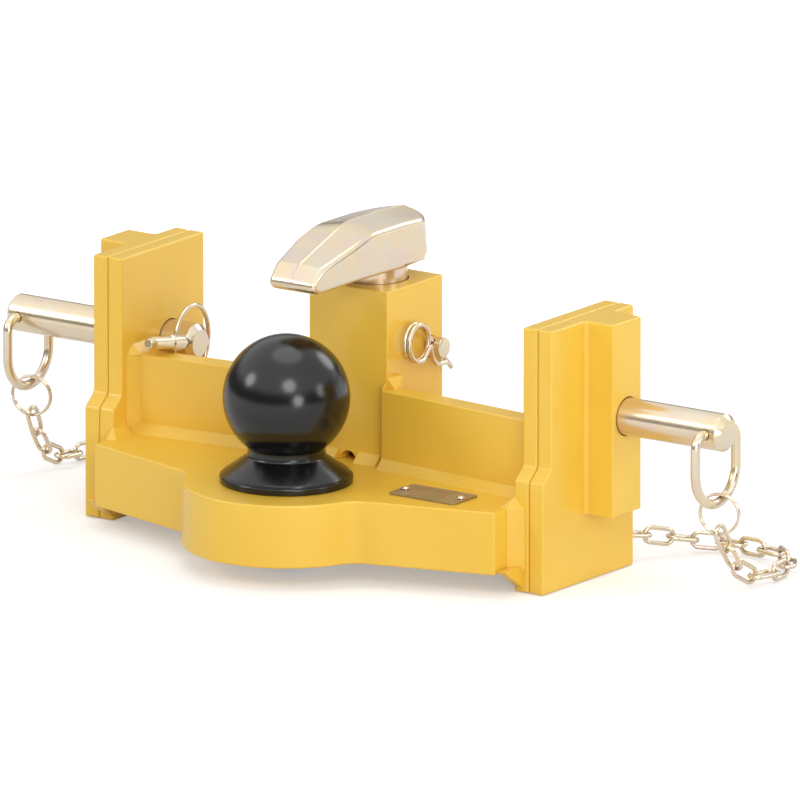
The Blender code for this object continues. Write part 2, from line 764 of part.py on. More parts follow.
def make_arm():
    # The ridge profile is drawn out sideways, its roof let down towards the sides, and the
    # plan outline then cuts it to shape.
    wide = ARM_HALF + 0.004
    profile = [(y, z) for y, z, fall in ARM_RIDGE] + list(ARM_SOLE)
    arm = flat_outline("hold_down_arm", profile, -wide, wide, ACROSS)
    falls = {(round(y, 5), round(z, 5)): fall for y, z, fall in ARM_RIDGE}
    shape = bmesh.new()
    shape.from_mesh(arm.data)
    geometry = shape.verts[:] + shape.edges[:] + shape.faces[:]
    bmesh.ops.bisect_plane(shape, geom=geometry, plane_co=(0, 0, 0), plane_no=(1, 0, 0))
    for vert in shape.verts:
        fall = falls.get((round(vert.co.y, 5), round(vert.co.z, 5)), 0.0)
        vert.co.z -= fall * abs(vert.co.x)
    bmesh.ops.triangulate(shape, faces=shape.faces)
    shape.to_mesh(arm.data)
    shape.free()
    plan = flat_outline("arm_plan", arm_plan(), 0.16, 0.22, UPRIGHT)
    boolean(arm, plan, "INTERSECT")
    radius = SPIGOT_DIAMETER / 2 + CLEARANCE
    top = ARM_UNDERSIDE + SPIGOT_DEPTH + CLEARANCE
    cut(arm, rod("spigot_bore", (0, SHAFT_AXIS, 0.15), (0, SHAFT_AXIS, top), radius, 32))
    return finish(arm, zinc("hold_down_arm"))


def along_x(item, back, height):
    # A turned piece whose Z axis is laid along X, its origin on the axis given.
    item.rotation_euler = (0, math.pi / 2, 0)
    item.location = (0, back, height)
    return item


def make_cross_pin():
    radius = CROSS_PIN_DIAMETER / 2
    head = CROSS_PIN_HEAD_DIAMETER / 2
    under = -BLOCK_HALF - CLEARANCE
    back = under - CROSS_PIN_HEAD_THICKNESS
    profile = (
        (0.0, CROSS_PIN_END),
        (radius - 0.001, CROSS_PIN_END),
        (radius, CROSS_PIN_END - 0.001),
        (radius, under),
        (head, under),
        (head, back + 0.0015),
        (head - 0.0015, back),
        (0.0, back),
    )
    pin = along_x(turned("cross_pin", profile, 24), CROSS_PIN_BACK, CROSS_PIN_HEIGHT)
    reach = clip_direction() * 0.02
    hole = CLIP_WIRE / 2 + CLEARANCE
    middle = Vector((CLIP_X, CROSS_PIN_BACK, CROSS_PIN_HEIGHT))
    cut(pin, rod("clip_hole", middle - reach, middle + reach, hole, 16))
    return finish(pin, zinc("cross_pin"))


def clip_direction():
    return Vector((0, math.cos(CLIP_LEAN), -math.sin(CLIP_LEAN)))


def make_clip():
    # Straight leg through the pin, a coil and a leg that curls round the pin from below.
    down = clip_direction()
    outward = Vector((0, math.sin(CLIP_LEAN), math.cos(CLIP_LEAN)))
    middle = Vector((CLIP_X, CROSS_PIN_BACK, CROSS_PIN_HEIGHT))
    centre = middle - down * CLIP_COIL_DISTANCE - outward * CLIP_COIL_RADIUS
    points = [middle + down * CLIP_TIP_LENGTH, middle]
    first = 90 - math.degrees(CLIP_LEAN)
    last = 265 + 360
    steps = 26
    for i in range(steps + 1):
        angle = math.radians(first + (last - first) * i / steps)
        x = CLIP_X + CLIP_COIL_PITCH * (angle - math.radians(first)) / (2 * math.pi)
        y = centre.y + CLIP_COIL_RADIUS * math.cos(angle)
        z = centre.z + CLIP_COIL_RADIUS * math.sin(angle)
        points.append(Vector((x, y, z)))
    hug = CROSS_PIN_DIAMETER / 2 + CLIP_WIRE / 2 + 2 * CLEARANCE
    side = CLIP_X + CLIP_COIL_PITCH
    exit_x = points[-1].x
    points.append(Vector((exit_x - 0.0006, centre.y + 0.008, centre.z - CLIP_COIL_RADIUS - 0.0012)))
    for degrees in (200, 222, 245, 268):
        angle = math.radians(degrees)
        y = CROSS_PIN_BACK + hug * math.cos(angle)
        z = CROSS_PIN_HEIGHT + hug * math.sin(angle)
        points.append(Vector((side, y, z)))
    points.append(points[-1] + Vector((0, 0.005, -0.0018)))
    return finish(wire("r_clip", points, CLIP_WIRE), zinc("r_clip"))


def make_lock_pin(name, side):
    radius = LOCK_PIN_DIAMETER / 2
    edge = LOCK_PIN_CHAMFER
    profile = (
        (0.0, LOCK_PIN_OUTER),
        (radius - edge, LOCK_PIN_OUTER),
        (radius, LOCK_PIN_OUTER - edge),
        (radius, LOCK_PIN_INNER + edge),
        (radius - edge, LOCK_PIN_INNER),
        (0.0, LOCK_PIN_INNER),
    )
    pin = turned("lock_pin_" + name, profile, 32)
    along_x(pin, RAIL_AXIS, LOCK_PIN_HEIGHT)
    pin.rotation_euler = (0, side * math.pi / 2, 0)
    hole = RING_WIRE / 2 + CLEARANCE
    ring = Vector((side * RING_X, RAIL_AXIS, LOCK_PIN_HEIGHT))
    reach = Vector((0, 0.02, 0))
    cut(pin, rod("ring_hole_" + name, ring - reach, ring + reach, hole, 16))
    hole = LINCH_DIAMETER / 2 + CLEARANCE
    linch = Vector((side * LINCH_X, RAIL_AXIS, LOCK_PIN_HEIGHT))
    reach = linch_direction(side) * 0.02
    cut(pin, rod("linch_hole_" + name, linch - reach, linch + reach, hole, 20))
    return finish(pin, zinc("lock_pin_" + name))


def make_d_ring(name, side):
    half = RING_HALF_WIDTH
    bend = RING_CORNER
    low = -RING_DROP + half
    loop = arc((half - bend, -bend), bend, 90, 0, 4)
    loop += arc((0, low), half, 0, -180, 14)
    loop += arc((bend - half, -bend), bend, 180, 90, 4)
    points = [(0, y, z) for y, z in loop]
    ring = wire("d_ring_" + name, points, RING_WIRE, True)
    ring.location = (side * RING_X, RAIL_AXIS, LOCK_PIN_HEIGHT)
    return finish(ring, zinc("d_ring_" + name))


def linch_direction(side):
    # The left linch pin's head points forwards and the right one's backwards.
    return Vector((0, side * math.cos(LINCH_TILT), math.sin(LINCH_TILT)))


def linch_upward(side):
    return Vector((0, -side * math.sin(LINCH_TILT), math.cos(LINCH_TILT)))


def make_linch_pin(name, side):
    radius = LINCH_DIAMETER / 2
    head = LINCH_HEAD_DIAMETER / 2
    profile = [
        (0.0, LINCH_HEAD_END),
        (head * 0.5, LINCH_HEAD_END - 0.0008),
        (head * 0.85, LINCH_HEAD_END - 0.0028),
        (head, LINCH_HEAD_END - 0.006),
        (head, LINCH_HEAD_START + 0.001),
        (head - 0.001, LINCH_HEAD_START),
        (radius, LINCH_HEAD_START),
        (radius, LINCH_TIP + 0.0025),
        (radius * 0.5, LINCH_TIP),
        (0.0, LINCH_TIP),
    ]
    pin = turned("linch_pin_" + name, profile, 20)
    turn = Vector((0, 0, 1)).rotation_difference(linch_direction(side))
    pin.rotation_euler = turn.to_euler()
    pin.location = (side * LINCH_X, RAIL_AXIS, LOCK_PIN_HEIGHT)
    place = Vector(pin.location) + linch_direction(side) * BAIL_PIVOT
    reach = linch_upward(side) * 0.01
    hole = BAIL_WIRE / 2 + CLEARANCE
    cut(pin, rod("bail_hole_" + name, place - reach, place + reach, hole, 14))
    return finish(pin, zinc("linch_pin_" + name))


def make_bail(name, side):
    # An open spring ring whose two ends turn in to the hole of the linch pin's head.
    start = math.acos((BAIL_PIVOT - BAIL_CENTRE) / BAIL_HALF_LENGTH)
    end_gap = 2 * BAIL_WIRE / 3
    steps = 26
    flat = [(BAIL_PIVOT, end_gap)]
    for i in range(steps + 1):
        angle = start + (2 * math.pi - 2 * start) * i / steps
        along = BAIL_CENTRE + BAIL_HALF_LENGTH * math.cos(angle)
        flat.append((along, BAIL_HALF_HEIGHT * math.sin(angle)))
    flat.append((BAIL_PIVOT, -end_gap))
    forward = linch_direction(side)
    up = linch_upward(side)
    points = [forward * (s - BAIL_PIVOT) + up * p for s, p in flat]
    bail = wire("bail_" + name, points, BAIL_WIRE)
    home = Vector((side * LINCH_X, RAIL_AXIS, LOCK_PIN_HEIGHT))
    bail.location = home + forward * BAIL_PIVOT
    return finish(bail, zinc("bail_" + name))


def split_ring_centre():
    # The ring hangs on the D-ring a little behind its lowest point.
    back = 0.0040
    rise = RING_HALF_WIDTH - math.sqrt(RING_HALF_WIDTH ** 2 - back ** 2)
    hang = SPLIT_RING_RADIUS - SPLIT_RING_WIRE / 2 - RING_WIRE / 2 - 3 * CLEARANCE
    height = LOCK_PIN_HEIGHT - RING_DROP + rise - hang
    return Vector((RING_X, RAIL_AXIS + back, height))


def make_split_ring(name, side):
    # Both rings face the same way, so the turn changes sign before the left one is mirrored.
    turn = side * SPLIT_RING_TURN
    normal = Vector((math.sin(turn), -math.cos(turn), 0))
    level = Vector((0, 0, 1)).cross(normal)
    points = []
    turns = 1.94
    steps = 36
    for i in range(steps + 1):
        angle = 2 * math.pi * turns * i / steps
        shift = SPLIT_RING_PITCH * turns * (i / steps - 0.5)
        point = split_ring_centre() + normal * shift
        point += level * SPLIT_RING_RADIUS * math.cos(angle)
        point += Vector((0, 0, SPLIT_RING_RADIUS * math.sin(angle)))
        points.append((side * point.x, point.y, point.z))
    ring = wire("split_ring_" + name, points, SPLIT_RING_WIRE)
    return finish(ring, zinc("split_ring_" + name))


def route_points(name):
    # A smooth curve through the chain's route, as closely set points.
    hang = SPLIT_RING_RADIUS - SPLIT_RING_WIRE / 2 - 7 * CLEARANCE
    hung = split_ring_centre() - Vector((0, 2 * CLEARANCE, hang))
    bar = Vector((RING_X, RAIL_AXIS, 0))
    eye = Vector((EYE_X, EYE_BACK, 0))
    stops = [hung] + [bar + Vector(p) for p in CHAIN_ROUTES[name]]
    stops = stops + [eye + Vector(p) for p in CHAIN_END]
    stops = [stops[0] * 2 - stops[1]] + stops + [stops[-1] * 2 - stops[-2]]
    points = []
    steps = 24
    for i in range(1, len(stops) - 2):
        a, b, c, d = stops[i - 1 : i + 3]
        for k in range(steps):
            t = k / steps
            bend = (2 * a - 5 * b + 4 * c - d) * t ** 2 + (3 * b - a - 3 * c + d) * t ** 3
            points.append((2 * b + (c - a) * t + bend) / 2)
    points.append(stops[-2])
    return points


def stepped(points, pitch, count):
    # Joints one pitch apart along the points, and how much of the route is left over.
    joints = [points[0]]
    i = 0
    for _ in range(count):
        while i < len(points) and (points[i] - joints[-1]).length < pitch:
            i += 1
        if i == len(points):
            return joints, -1.0
        before = (points[i - 1] - joints[-1]).length
        after = (points[i] - joints[-1]).length
        share = (pitch - before) / (after - before)
        joints.append(points[i - 1].lerp(points[i], share))
    return joints, (points[-1] - joints[-1]).length


def chain_joints(name):
    # The pitch that brings the last joint to the end of the route is found by halving.
    points = route_points(name)
    low = 0.005
    high = 0.05
    for _ in range(60):
        pitch = (low + high) / 2
        joints, left = stepped(points, pitch, LINK_COUNT)
        if left < 0:
            high = pitch
        else:
            low = pitch
    joints, left = stepped(points, low, LINK_COUNT)
    return joints, low


def make_chain(name, side):
    joints, pitch = chain_joints(name)
    length = pitch + LINK_WIRE + LINK_PLAY
    bend = (LINK_WIDTH - LINK_WIRE) / 2
    straight = length / 2 - bend
    loop = arc((straight, 0), bend, -90, 90, 5) + arc((-straight, 0), bend, 90, 270, 5)
    for i in range(LINK_COUNT):
        along = (joints[i + 1] - joints[i]).normalized()
        level = along.cross(Vector((0, 0, 1))).normalized()
        wide = level.cross(along) if i % 2 == 0 else level
        middle = (joints[i] + joints[i + 1]) / 2
        points = [middle + along * s + wide * w for s, w in loop]
        link = wire("link_%s_%02d" % (name, i + 1), mirrored(points, side), LINK_WIRE, True)
        finish(link, zinc(link.name))


def make_chain_eye(name, side):
    start = PLATE_REAR + CLEARANCE
    bend = arc((start + EYE_LEG, EYE_HEIGHT), EYE_RADIUS, -90, 90, 10)
    path = [(start, EYE_HEIGHT - EYE_RADIUS)] + bend + [(start, EYE_HEIGHT + EYE_RADIUS)]
    points = [(side * EYE_X, y, z) for y, z in path]
    return finish(wire("chain_eye_" + name, points, EYE_WIRE), paint("chain_eye_" + name))


def rivet_places():
    half = RIVET_SPACING / 2
    return (PLATE_LABEL[0] - half, PLATE_LABEL[0] + half)


def make_label():
    low = BASE_TOP + CLEARANCE
    half = Vector((LABEL_LENGTH / 2, LABEL_WIDTH / 2, 0))
    middle = Vector((*PLATE_LABEL, low))
    label = box("type_plate", middle - half, middle + half + Vector((0, 0, LABEL_THICKNESS)))
    hole = RIVET_DIAMETER / 2 + CLEARANCE
    for i, x in enumerate(rivet_places()):
        start = (x, PLATE_LABEL[1], low - 0.005)
        end = (x, PLATE_LABEL[1], low + 0.01)
        cut(label, rod("label_hole_%d" % i, start, end, hole, 12))
    finish(label, bare("type_plate"))
    top = low + LABEL_THICKNESS + CLEARANCE
    shank = RIVET_DIAMETER / 2
    head = RIVET_HEAD_DIAMETER / 2
    for i, x in enumerate(rivet_places()):
        profile = (
            (0.0, top + 0.0016),
            (head * 0.55, top + 0.0013),
            (head, top),
            (shank, top),
            (shank, BASE_TOP - RIVET_DEPTH),
            (0.0, BASE_TOP - RIVET_DEPTH),
        )
        rivet = turned("rivet_%d" % (i + 1), profile, 12)
        rivet.location = (x, PLATE_LABEL[1], 0)
        finish(rivet, zinc(rivet.name))


clear_scene()
parts = make_collection("ball_hitch_carriage")
cutters = make_collection("cutters")
cutters.hide_render = True
carriage = bpy.data.objects.new("carriage", None)
parts.objects.link(carriage)

make_base()
make_ball()
make_ball_fixing()
make_block()
make_arm()
make_shaft()
make_cross_pin()
make_clip()
make_label()
for side_name, side_sign in SIDES:
    make_guide(side_name, side_sign)
    make_cheek(side_name, side_sign)
    make_wing(side_name, side_sign)
    make_lock_pin(side_name, side_sign)
    make_d_ring(side_name, side_sign)
    make_linch_pin(side_name, side_sign)
    make_bail(side_name, side_sign)
    make_split_ring(side_name, side_sign)
    make_chain(side_name, side_sign)
    make_chain_eye(side_name, side_sign)

carriage.location = (0, FRAME_SHIFT, 0)
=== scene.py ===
import math

import bmesh
import bpy
import numpy as np
from mathutils import Matrix, Vector


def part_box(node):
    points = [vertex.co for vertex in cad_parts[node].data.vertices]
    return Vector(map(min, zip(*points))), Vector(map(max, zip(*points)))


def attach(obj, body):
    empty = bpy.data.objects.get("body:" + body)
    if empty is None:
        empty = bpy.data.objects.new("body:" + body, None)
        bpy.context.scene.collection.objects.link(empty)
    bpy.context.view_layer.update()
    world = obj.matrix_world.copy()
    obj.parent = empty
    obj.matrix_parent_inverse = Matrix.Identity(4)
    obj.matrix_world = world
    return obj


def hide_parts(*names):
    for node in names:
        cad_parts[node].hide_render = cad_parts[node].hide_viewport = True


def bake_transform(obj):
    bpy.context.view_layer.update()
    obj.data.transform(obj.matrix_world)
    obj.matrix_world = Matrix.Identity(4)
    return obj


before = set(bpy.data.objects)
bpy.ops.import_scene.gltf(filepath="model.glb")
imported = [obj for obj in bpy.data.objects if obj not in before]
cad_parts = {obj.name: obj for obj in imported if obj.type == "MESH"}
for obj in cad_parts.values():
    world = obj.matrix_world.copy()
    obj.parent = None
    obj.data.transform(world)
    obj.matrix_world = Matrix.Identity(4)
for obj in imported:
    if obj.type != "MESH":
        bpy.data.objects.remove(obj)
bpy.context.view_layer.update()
print("frame loaded,", len(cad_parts), "nodes")

# Sizes below are in millimetres, measured from the ball's axis at floor level.
ballBack = 36.45
sides = (("left", -1), ("right", 1))


def at(x, y, z):
    return Vector((x, y - ballBack, z)) / 1000


def mm(size):
    return size / 1000


# hand tools

def deselect():
    if bpy.context.mode != "OBJECT":
        bpy.ops.object.mode_set(mode="OBJECT")
    bpy.ops.object.select_all(action="DESELECT")


def makeActive(piece):
    deselect()
    piece.select_set(True)
    bpy.context.view_layer.objects.active = piece


def edit(piece, kind="VERT"):
    makeActive(piece)
    bpy.ops.object.mode_set(mode="EDIT")
    bpy.ops.mesh.select_mode(type=kind)


def stopEdit():
    bpy.ops.object.mode_set(mode="OBJECT")
    return bpy.context.object


def pick(kind, test):
    # select the points or edges that pass the test
    bpy.ops.mesh.select_mode(type=kind)
    bpy.ops.mesh.select_all(action="DESELECT")
    shape = bmesh.from_edit_mesh(bpy.context.object.data)
    for item in shape.verts if kind == "VERT" else shape.edges:
        if test(item):
            item.select_set(True)
    if kind == "VERT":
        shape.select_flush_mode()
    bmesh.update_edit_mesh(bpy.context.object.data)


def joinPieces(pieces, name):
    makeActive(pieces[0])
    for piece in pieces:
        piece.select_set(True)
    bpy.ops.object.join()
    piece = bpy.context.object
    piece.name = name
    return piece


def applyPlace():
    bpy.ops.object.transform_apply(location=True, rotation=True, scale=True)


def selectAll():
    bpy.ops.mesh.select_all(action="SELECT")


def drawLine(name, points):
    # a plane merged to one loose point, then drawn on from point to point
    deselect()
    bpy.ops.mesh.primitive_plane_add(size=0.001, location=points[0])
    piece = bpy.context.object
    piece.name = name
    applyPlace()
    edit(piece)
    selectAll()
    bpy.ops.mesh.merge(type="CENTER")
    for before, after in zip(points, points[1:]):
        step = Vector(after) - Vector(before)
        bpy.ops.mesh.extrude_vertices_move(TRANSFORM_OT_translate={"value": step})
    return piece


def cleanShell():
    selectAll()
    bpy.ops.mesh.remove_doubles(threshold=1e-6)
    bpy.ops.mesh.normals_make_consistent(inside=False)


def spun(name, profile, centre, axis, steps=96):
    # profile: (radius, distance along the axis) in millimetres
    axis = Vector(axis).normalized()
    out = axis.orthogonal().normalized()
    points = [Vector(centre) + out * mm(r) + axis * mm(s) for r, s in profile]
    piece = drawLine(name, points)
    selectAll()
    bpy.ops.mesh.spin(steps=steps, angle=2 * math.pi, center=centre, axis=axis)
    cleanShell()
    return stopEdit()


def drawOut(step):
    bpy.ops.mesh.extrude_region_move(TRANSFORM_OT_translate={"value": step})


def prism(name, outline, step):
    # a drawn outline, filled and drawn out by one step
    piece = drawLine(name, outline)
    selectAll()
    bpy.ops.mesh.edge_face_add()
    drawOut(step)
    cleanShell()
    return stopEdit()


def roundRod(name, start, end, radius, vertices):
    deselect()
    bpy.ops.mesh.primitive_cylinder_add(vertices=vertices, radius=radius, depth=(end - start).length)
    piece = bpy.context.object
    piece.name = name
    turn = Vector((0, 0, 1)).rotation_difference(end - start).to_matrix().to_4x4()
    piece.matrix_world = Matrix.Translation((start + end) / 2) @ turn
    applyPlace()
    return piece


def carve(piece, tool):
    makeActive(piece)
    change = piece.modifiers.new("carve", "BOOLEAN")
    change.operation = "DIFFERENCE"
    change.object = tool
    change.solver = "EXACT"
    bpy.ops.object.modifier_apply(modifier=change.name)
    bpy.data.objects.remove(tool)
    return piece


def drill(piece, name, middle, reach, radius, vertices=32):
    # a round hole through the piece, running the reach to both sides of its middle
    return carve(piece, roundRod(name, middle - reach, middle + reach, mm(radius), vertices))


def roundPicked(width, segments):
    bpy.ops.mesh.bevel(offset=width, segments=segments, affect="EDGES", clamp_overlap=False)


def bevelSharp(piece, width, segments, sharp=25):
    edit(piece, "EDGE")
    bpy.ops.mesh.select_all(action="DESELECT")
    bpy.ops.mesh.edges_select_sharp(sharpness=math.radians(sharp))
    roundPicked(width, segments)
    stopEdit()


def smoothFaces(piece, angle=32):
    makeActive(piece)
    bpy.ops.object.shade_smooth_by_angle(angle=math.radians(angle))
    weigh = piece.modifiers.new("weigh", "WEIGHTED_NORMAL")
    weigh.keep_sharp = True
    bpy.ops.object.modifier_apply(modifier=weigh.name)
    return piece


def bentWire(name, points, thickness, closed=False, ring=4):
    deselect()
    bpy.ops.curve.primitive_bezier_curve_add()
    wire = bpy.context.object
    wire.name = name
    line = wire.data
    line.splines.clear()
    spline = line.splines.new("POLY")
    spline.points.add(len(points) - 1)
    for place, point in zip(spline.points, points):
        place.co = (*point, 1)
    spline.use_cyclic_u = closed
    line.dimensions = "3D"
    line.bevel_depth = thickness / 2
    line.bevel_resolution = ring
    line.use_fill_caps = not closed
    bpy.ops.object.convert(target="MESH")
    piece = bpy.context.object
    edit(piece)
    cleanShell()
    stopEdit()
    return smoothFaces(piece, 50)


def softCopy(node, width):
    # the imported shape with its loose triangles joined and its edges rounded
    piece = bpy.data.objects.new(node + "_finish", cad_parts[node].data.copy())
    bpy.context.scene.collection.objects.link(piece)
    edit(piece)
    selectAll()
    bpy.ops.mesh.remove_doubles(threshold=3e-6)
    bpy.ops.mesh.dissolve_limited(angle_limit=math.radians(0.6))
    stopEdit()
    bevelSharp(piece, width, 2)
    return smoothFaces(piece)


def fit(piece, body, material, slot, *nodes):
    piece.data.materials.clear()
    piece.data.materials.append(material)
    if nodes:
        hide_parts(*nodes)
    if body:
        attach(piece, body)
    return piece


# shader groups shared by the finishes

# kinds of socket, and plain white
number, tone = "NodeSocketFloat", "NodeSocketColor"
white = (1, 1, 1, 1)


def newGroup(name, inputs, outputs):
    group = bpy.data.node_groups.new(name, "ShaderNodeTree")
    for label, kind, value in inputs:
        socket = group.interface.new_socket(label, in_out="INPUT", socket_type=kind)
        socket.default_value = value
    for label, kind in outputs:
        group.interface.new_socket(label, in_out="OUTPUT", socket_type=kind)
    return group, group.nodes.new("NodeGroupInput"), group.nodes.new("NodeGroupOutput")


def addNode(tree, kind, **settings):
    node = tree.nodes.new(kind)
    for key, value in settings.items():
        setattr(node, key, value)
    return node


def setInputs(node, values):
    for label, value in values.items():
        node.inputs[label].default_value = value


def noise(tree, source, scale, detail, rough=0.5):
    texture = addNode(tree, "ShaderNodeTexNoise")
    setInputs(texture, {"Detail": detail, "Roughness": rough})
    tree.links.new(source, texture.inputs["Vector"])
    if isinstance(scale, float):
        texture.inputs["Scale"].default_value = scale
    else:
        tree.links.new(scale, texture.inputs["Scale"])
    return texture


def ranged(tree, source, low, high, toLow, toHigh):
    change = addNode(tree, "ShaderNodeMapRange")
    for label, value in (("From Min", low), ("From Max", high), ("To Min", toLow), ("To Max", toHigh)):
        if isinstance(value, float):
            change.inputs[label].default_value = value
        else:
            tree.links.new(value, change.inputs[label])
    tree.links.new(source, change.inputs["Value"])
    return change.outputs["Result"]


def mixed(tree, factor, first, second):
    mix = addNode(tree, "ShaderNodeMix", data_type="RGBA")
    for label, value in (("Factor", factor), ("A", first), ("B", second)):
        if isinstance(value, (float, tuple)):
            mix.inputs[label].default_value = value
        else:
            tree.links.new(value, mix.inputs[label])
    return mix.outputs["Result"]


def worked(tree, operation, *values):
    # arithmetic on sockets and plain numbers
    step = addNode(tree, "ShaderNodeMath", operation=operation)
    for socket, value in zip(step.inputs, values):
        if isinstance(value, float):
            socket.default_value = value
        else:
            tree.links.new(value, socket)
    return step.outputs["Value"]


def makeTintDrift():
    # slow wander between three tints, with a finer grain over it
    group, given, made = newGroup(
        "tintDrift",
        (("Scale", number, 12.0), ("Grain", number, 400.0),
         ("Main", tone, white), ("Second", tone, white), ("Third", tone, white)),
        (("Color", tone), ("Grain", number)))
    place = addNode(group, "ShaderNodeTexCoord").outputs["Object"]
    slow = noise(group, place, given.outputs["Scale"], 2.0)
    shifted = addNode(group, "ShaderNodeVectorMath", operation="ADD")
    shifted.inputs[1].default_value = (3.1, 1.7, 5.3)
    group.links.new(place, shifted.inputs[0])
    other = noise(group, shifted.outputs["Vector"], given.outputs["Scale"], 2.0)
    fine = noise(group, place, given.outputs["Grain"], 3.0, 0.6)
    first = mixed(group, ranged(group, slow.outputs["Fac"], 0.35, 0.65, 0.0, 1.0),
                  given.outputs["Main"], given.outputs["Second"])
    second = mixed(group, ranged(group, other.outputs["Fac"], 0.45, 0.75, 0.0, 1.0),
                   first, given.outputs["Third"])
    group.links.new(second, made.inputs["Color"])
    group.links.new(fine.outputs["Fac"], made.inputs["Grain"])
    return group


def makeSurfaceWaves():
    # height of a sprayed or plated skin: broad ripple and fine grain
    group, given, made = newGroup(
        "surfaceWaves",
        (("Ripple", number, 300.0), ("Grain", number, 1500.0), ("Share", number, 0.3)),
        (("Height", number),))
    place = addNode(group, "ShaderNodeTexCoord").outputs["Object"]
    broad = noise(group, place, given.outputs["Ripple"], 2.0)
    fine = noise(group, place, given.outputs["Grain"], 2.0, 0.6)
    mix = addNode(group, "ShaderNodeMix", data_type="FLOAT")
    group.links.new(given.outputs["Share"], mix.inputs["Factor"])
    group.links.new(broad.outputs["Fac"], mix.inputs["A"])
    group.links.new(fine.outputs["Fac"], mix.inputs["B"])
    group.links.new(mix.outputs["Result"], made.inputs["Height"])
    return group


def makeCornerShade():
    # mask of inner corners, for painted shade: an AO mask that darkens the colour where little light reaches
    group, given, made = newGroup(
        "cornerShade", (("Reach", number, 0.01),), (("Mask", number),))
    near = addNode(group, "ShaderNodeAmbientOcclusion", samples=8)
    group.links.new(given.outputs["Reach"], near.inputs["Distance"])
    mask = ranged(group, near.outputs["AO"], 0.25, 0.85, 1.0, 0.0)
    group.links.new(mask, made.inputs["Mask"])
    return group


tintDrift = makeTintDrift()
surfaceWaves = makeSurfaceWaves()
cornerShade = makeCornerShade()


def useGroup(tree, group, **values):
    node = addNode(tree, "ShaderNodeGroup", node_tree=group)
    setInputs(node, values)
    return node


def newFinish(name, look):
    # three drifting tints, and a roughness that follows their grain
    material = bpy.data.materials.new(name)
    material.use_nodes = True
    tree = material.node_tree
    shader = tree.nodes["Principled BSDF"]
    tint = useGroup(tree, tintDrift, Scale=look["drift"], Grain=look["grain"],
                    Main=look["main"], Second=look["second"], Third=look["third"])
    tree.links.new(tint.outputs["Color"], shader.inputs["Base Color"])
    grainLow, grainHigh = 0.3, 0.7
    rough = ranged(tree, tint.outputs["Grain"], grainLow, grainHigh, look["roughLow"], look["roughHigh"])
    tree.links.new(rough, shader.inputs["Roughness"])
    return material, tree, shader


def shadeCorners(tree, shader, look):
    # painted shade: the base colour turns towards a darker tint in inner corners, by an AO mask
    colour = shader.inputs["Base Color"].links[0].from_socket
    corner = useGroup(tree, cornerShade, Reach=mm(look["cornerShadeReach"]))
    share = worked(tree, "MULTIPLY", corner.outputs["Mask"], look["cornerShadeShare"])
    tree.links.new(mixed(tree, share, colour, look["corner"]), shader.inputs["Base Color"])


def addBump(tree, shader, height, look):
    bump = addNode(tree, "ShaderNodeBump")
    setInputs(bump, {"Strength": look["bump"], "Distance": mm(look["bumpHeight"])})
    tree.links.new(height, bump.inputs["Height"])
    tree.links.new(bump.outputs["Normal"], shader.inputs["Normal"])


def addWaves(tree, shader, look):
    waves = useGroup(tree, surfaceWaves, Ripple=look["ripple"], Grain=look["fine"], Share=look["fineShare"])
    addBump(tree, shader, waves.outputs["Height"], look)


# In each look: reach and bump height in millimetres, the scales of the noises per metre.
paintLook = {
    "main": (0.88, 0.555, 0.057, 1), "second": (0.86, 0.530, 0.048, 1), "third": (0.90, 0.585, 0.069, 1),
    "drift": 9.0, "grain": 650.0, "roughLow": 0.36, "roughHigh": 0.50, "coat": 0.35, "coatRough": 0.14,
    # painted shade: the darker tint put into inner corners by the AO mask
    "corner": (0.74, 0.42, 0.024, 1), "cornerShadeReach": 9.0, "cornerShadeShare": 0.35,
    "ripple": 260.0, "fine": 1400.0, "fineShare": 0.25, "bump": 0.10, "bumpHeight": 0.6,
}


def makePaint():
    material, tree, shader = newFinish("yellowPaint", paintLook)
    shadeCorners(tree, shader, paintLook)
    setInputs(shader, {"Coat Weight": paintLook["coat"], "Coat Roughness": paintLook["coatRough"]})
    addWaves(tree, shader, paintLook)
    return material


zincLook = {
    "main": (0.72, 0.640, 0.505, 1), "second": (0.76, 0.630, 0.420, 1), "third": (0.72, 0.575, 0.520, 1),
    "drift": 55.0, "grain": 180.0, "roughLow": 0.19, "roughHigh": 0.24, "metallic": 0.82,
    # painted shade: the dark tint put into inner corners by the AO mask
    "corner": (0.36, 0.285, 0.19, 1), "cornerShadeReach": 4.0, "cornerShadeShare": 0.4,
    "ripple": 90.0, "fine": 320.0, "fineShare": 0.12, "bump": 0.06, "bumpHeight": 0.5,
}


def makeZinc():
    material, tree, shader = newFinish("yellowZinc", zincLook)
    shadeCorners(tree, shader, zincLook)
    shader.inputs["Metallic"].default_value = zincLook["metallic"]
    addWaves(tree, shader, zincLook)
    return material


ballLook = {
    "main": (0.0045, 0.0045, 0.005, 1), "second": (0.006, 0.006, 0.006, 1),
    "third": (0.0035, 0.0035, 0.004, 1), "drift": 25.0, "grain": 800.0, "roughLow": 0.17, "roughHigh": 0.22,
    "ripple": 140.0, "fine": 1200.0, "fineShare": 0.15, "bump": 0.08, "bumpHeight": 0.6,
}


def makeBallBlack():
    material, tree, shader = newFinish("ballBlack", ballLook)
    addWaves(tree, shader, ballLook)
    return material


plateLook = {
    "main": (0.36, 0.275, 0.155, 1), "second": (0.40, 0.315, 0.19, 1), "third": (0.32, 0.24, 0.13, 1),
    "drift": 60.0, "grain": 1600.0, "roughLow": 0.38, "roughHigh": 0.52, "metallic": 0.55,
    "brush": 2600.0, "brushStretch": (0.04, 1.0, 1.0), "bump": 0.2, "bumpHeight": 0.2,
}


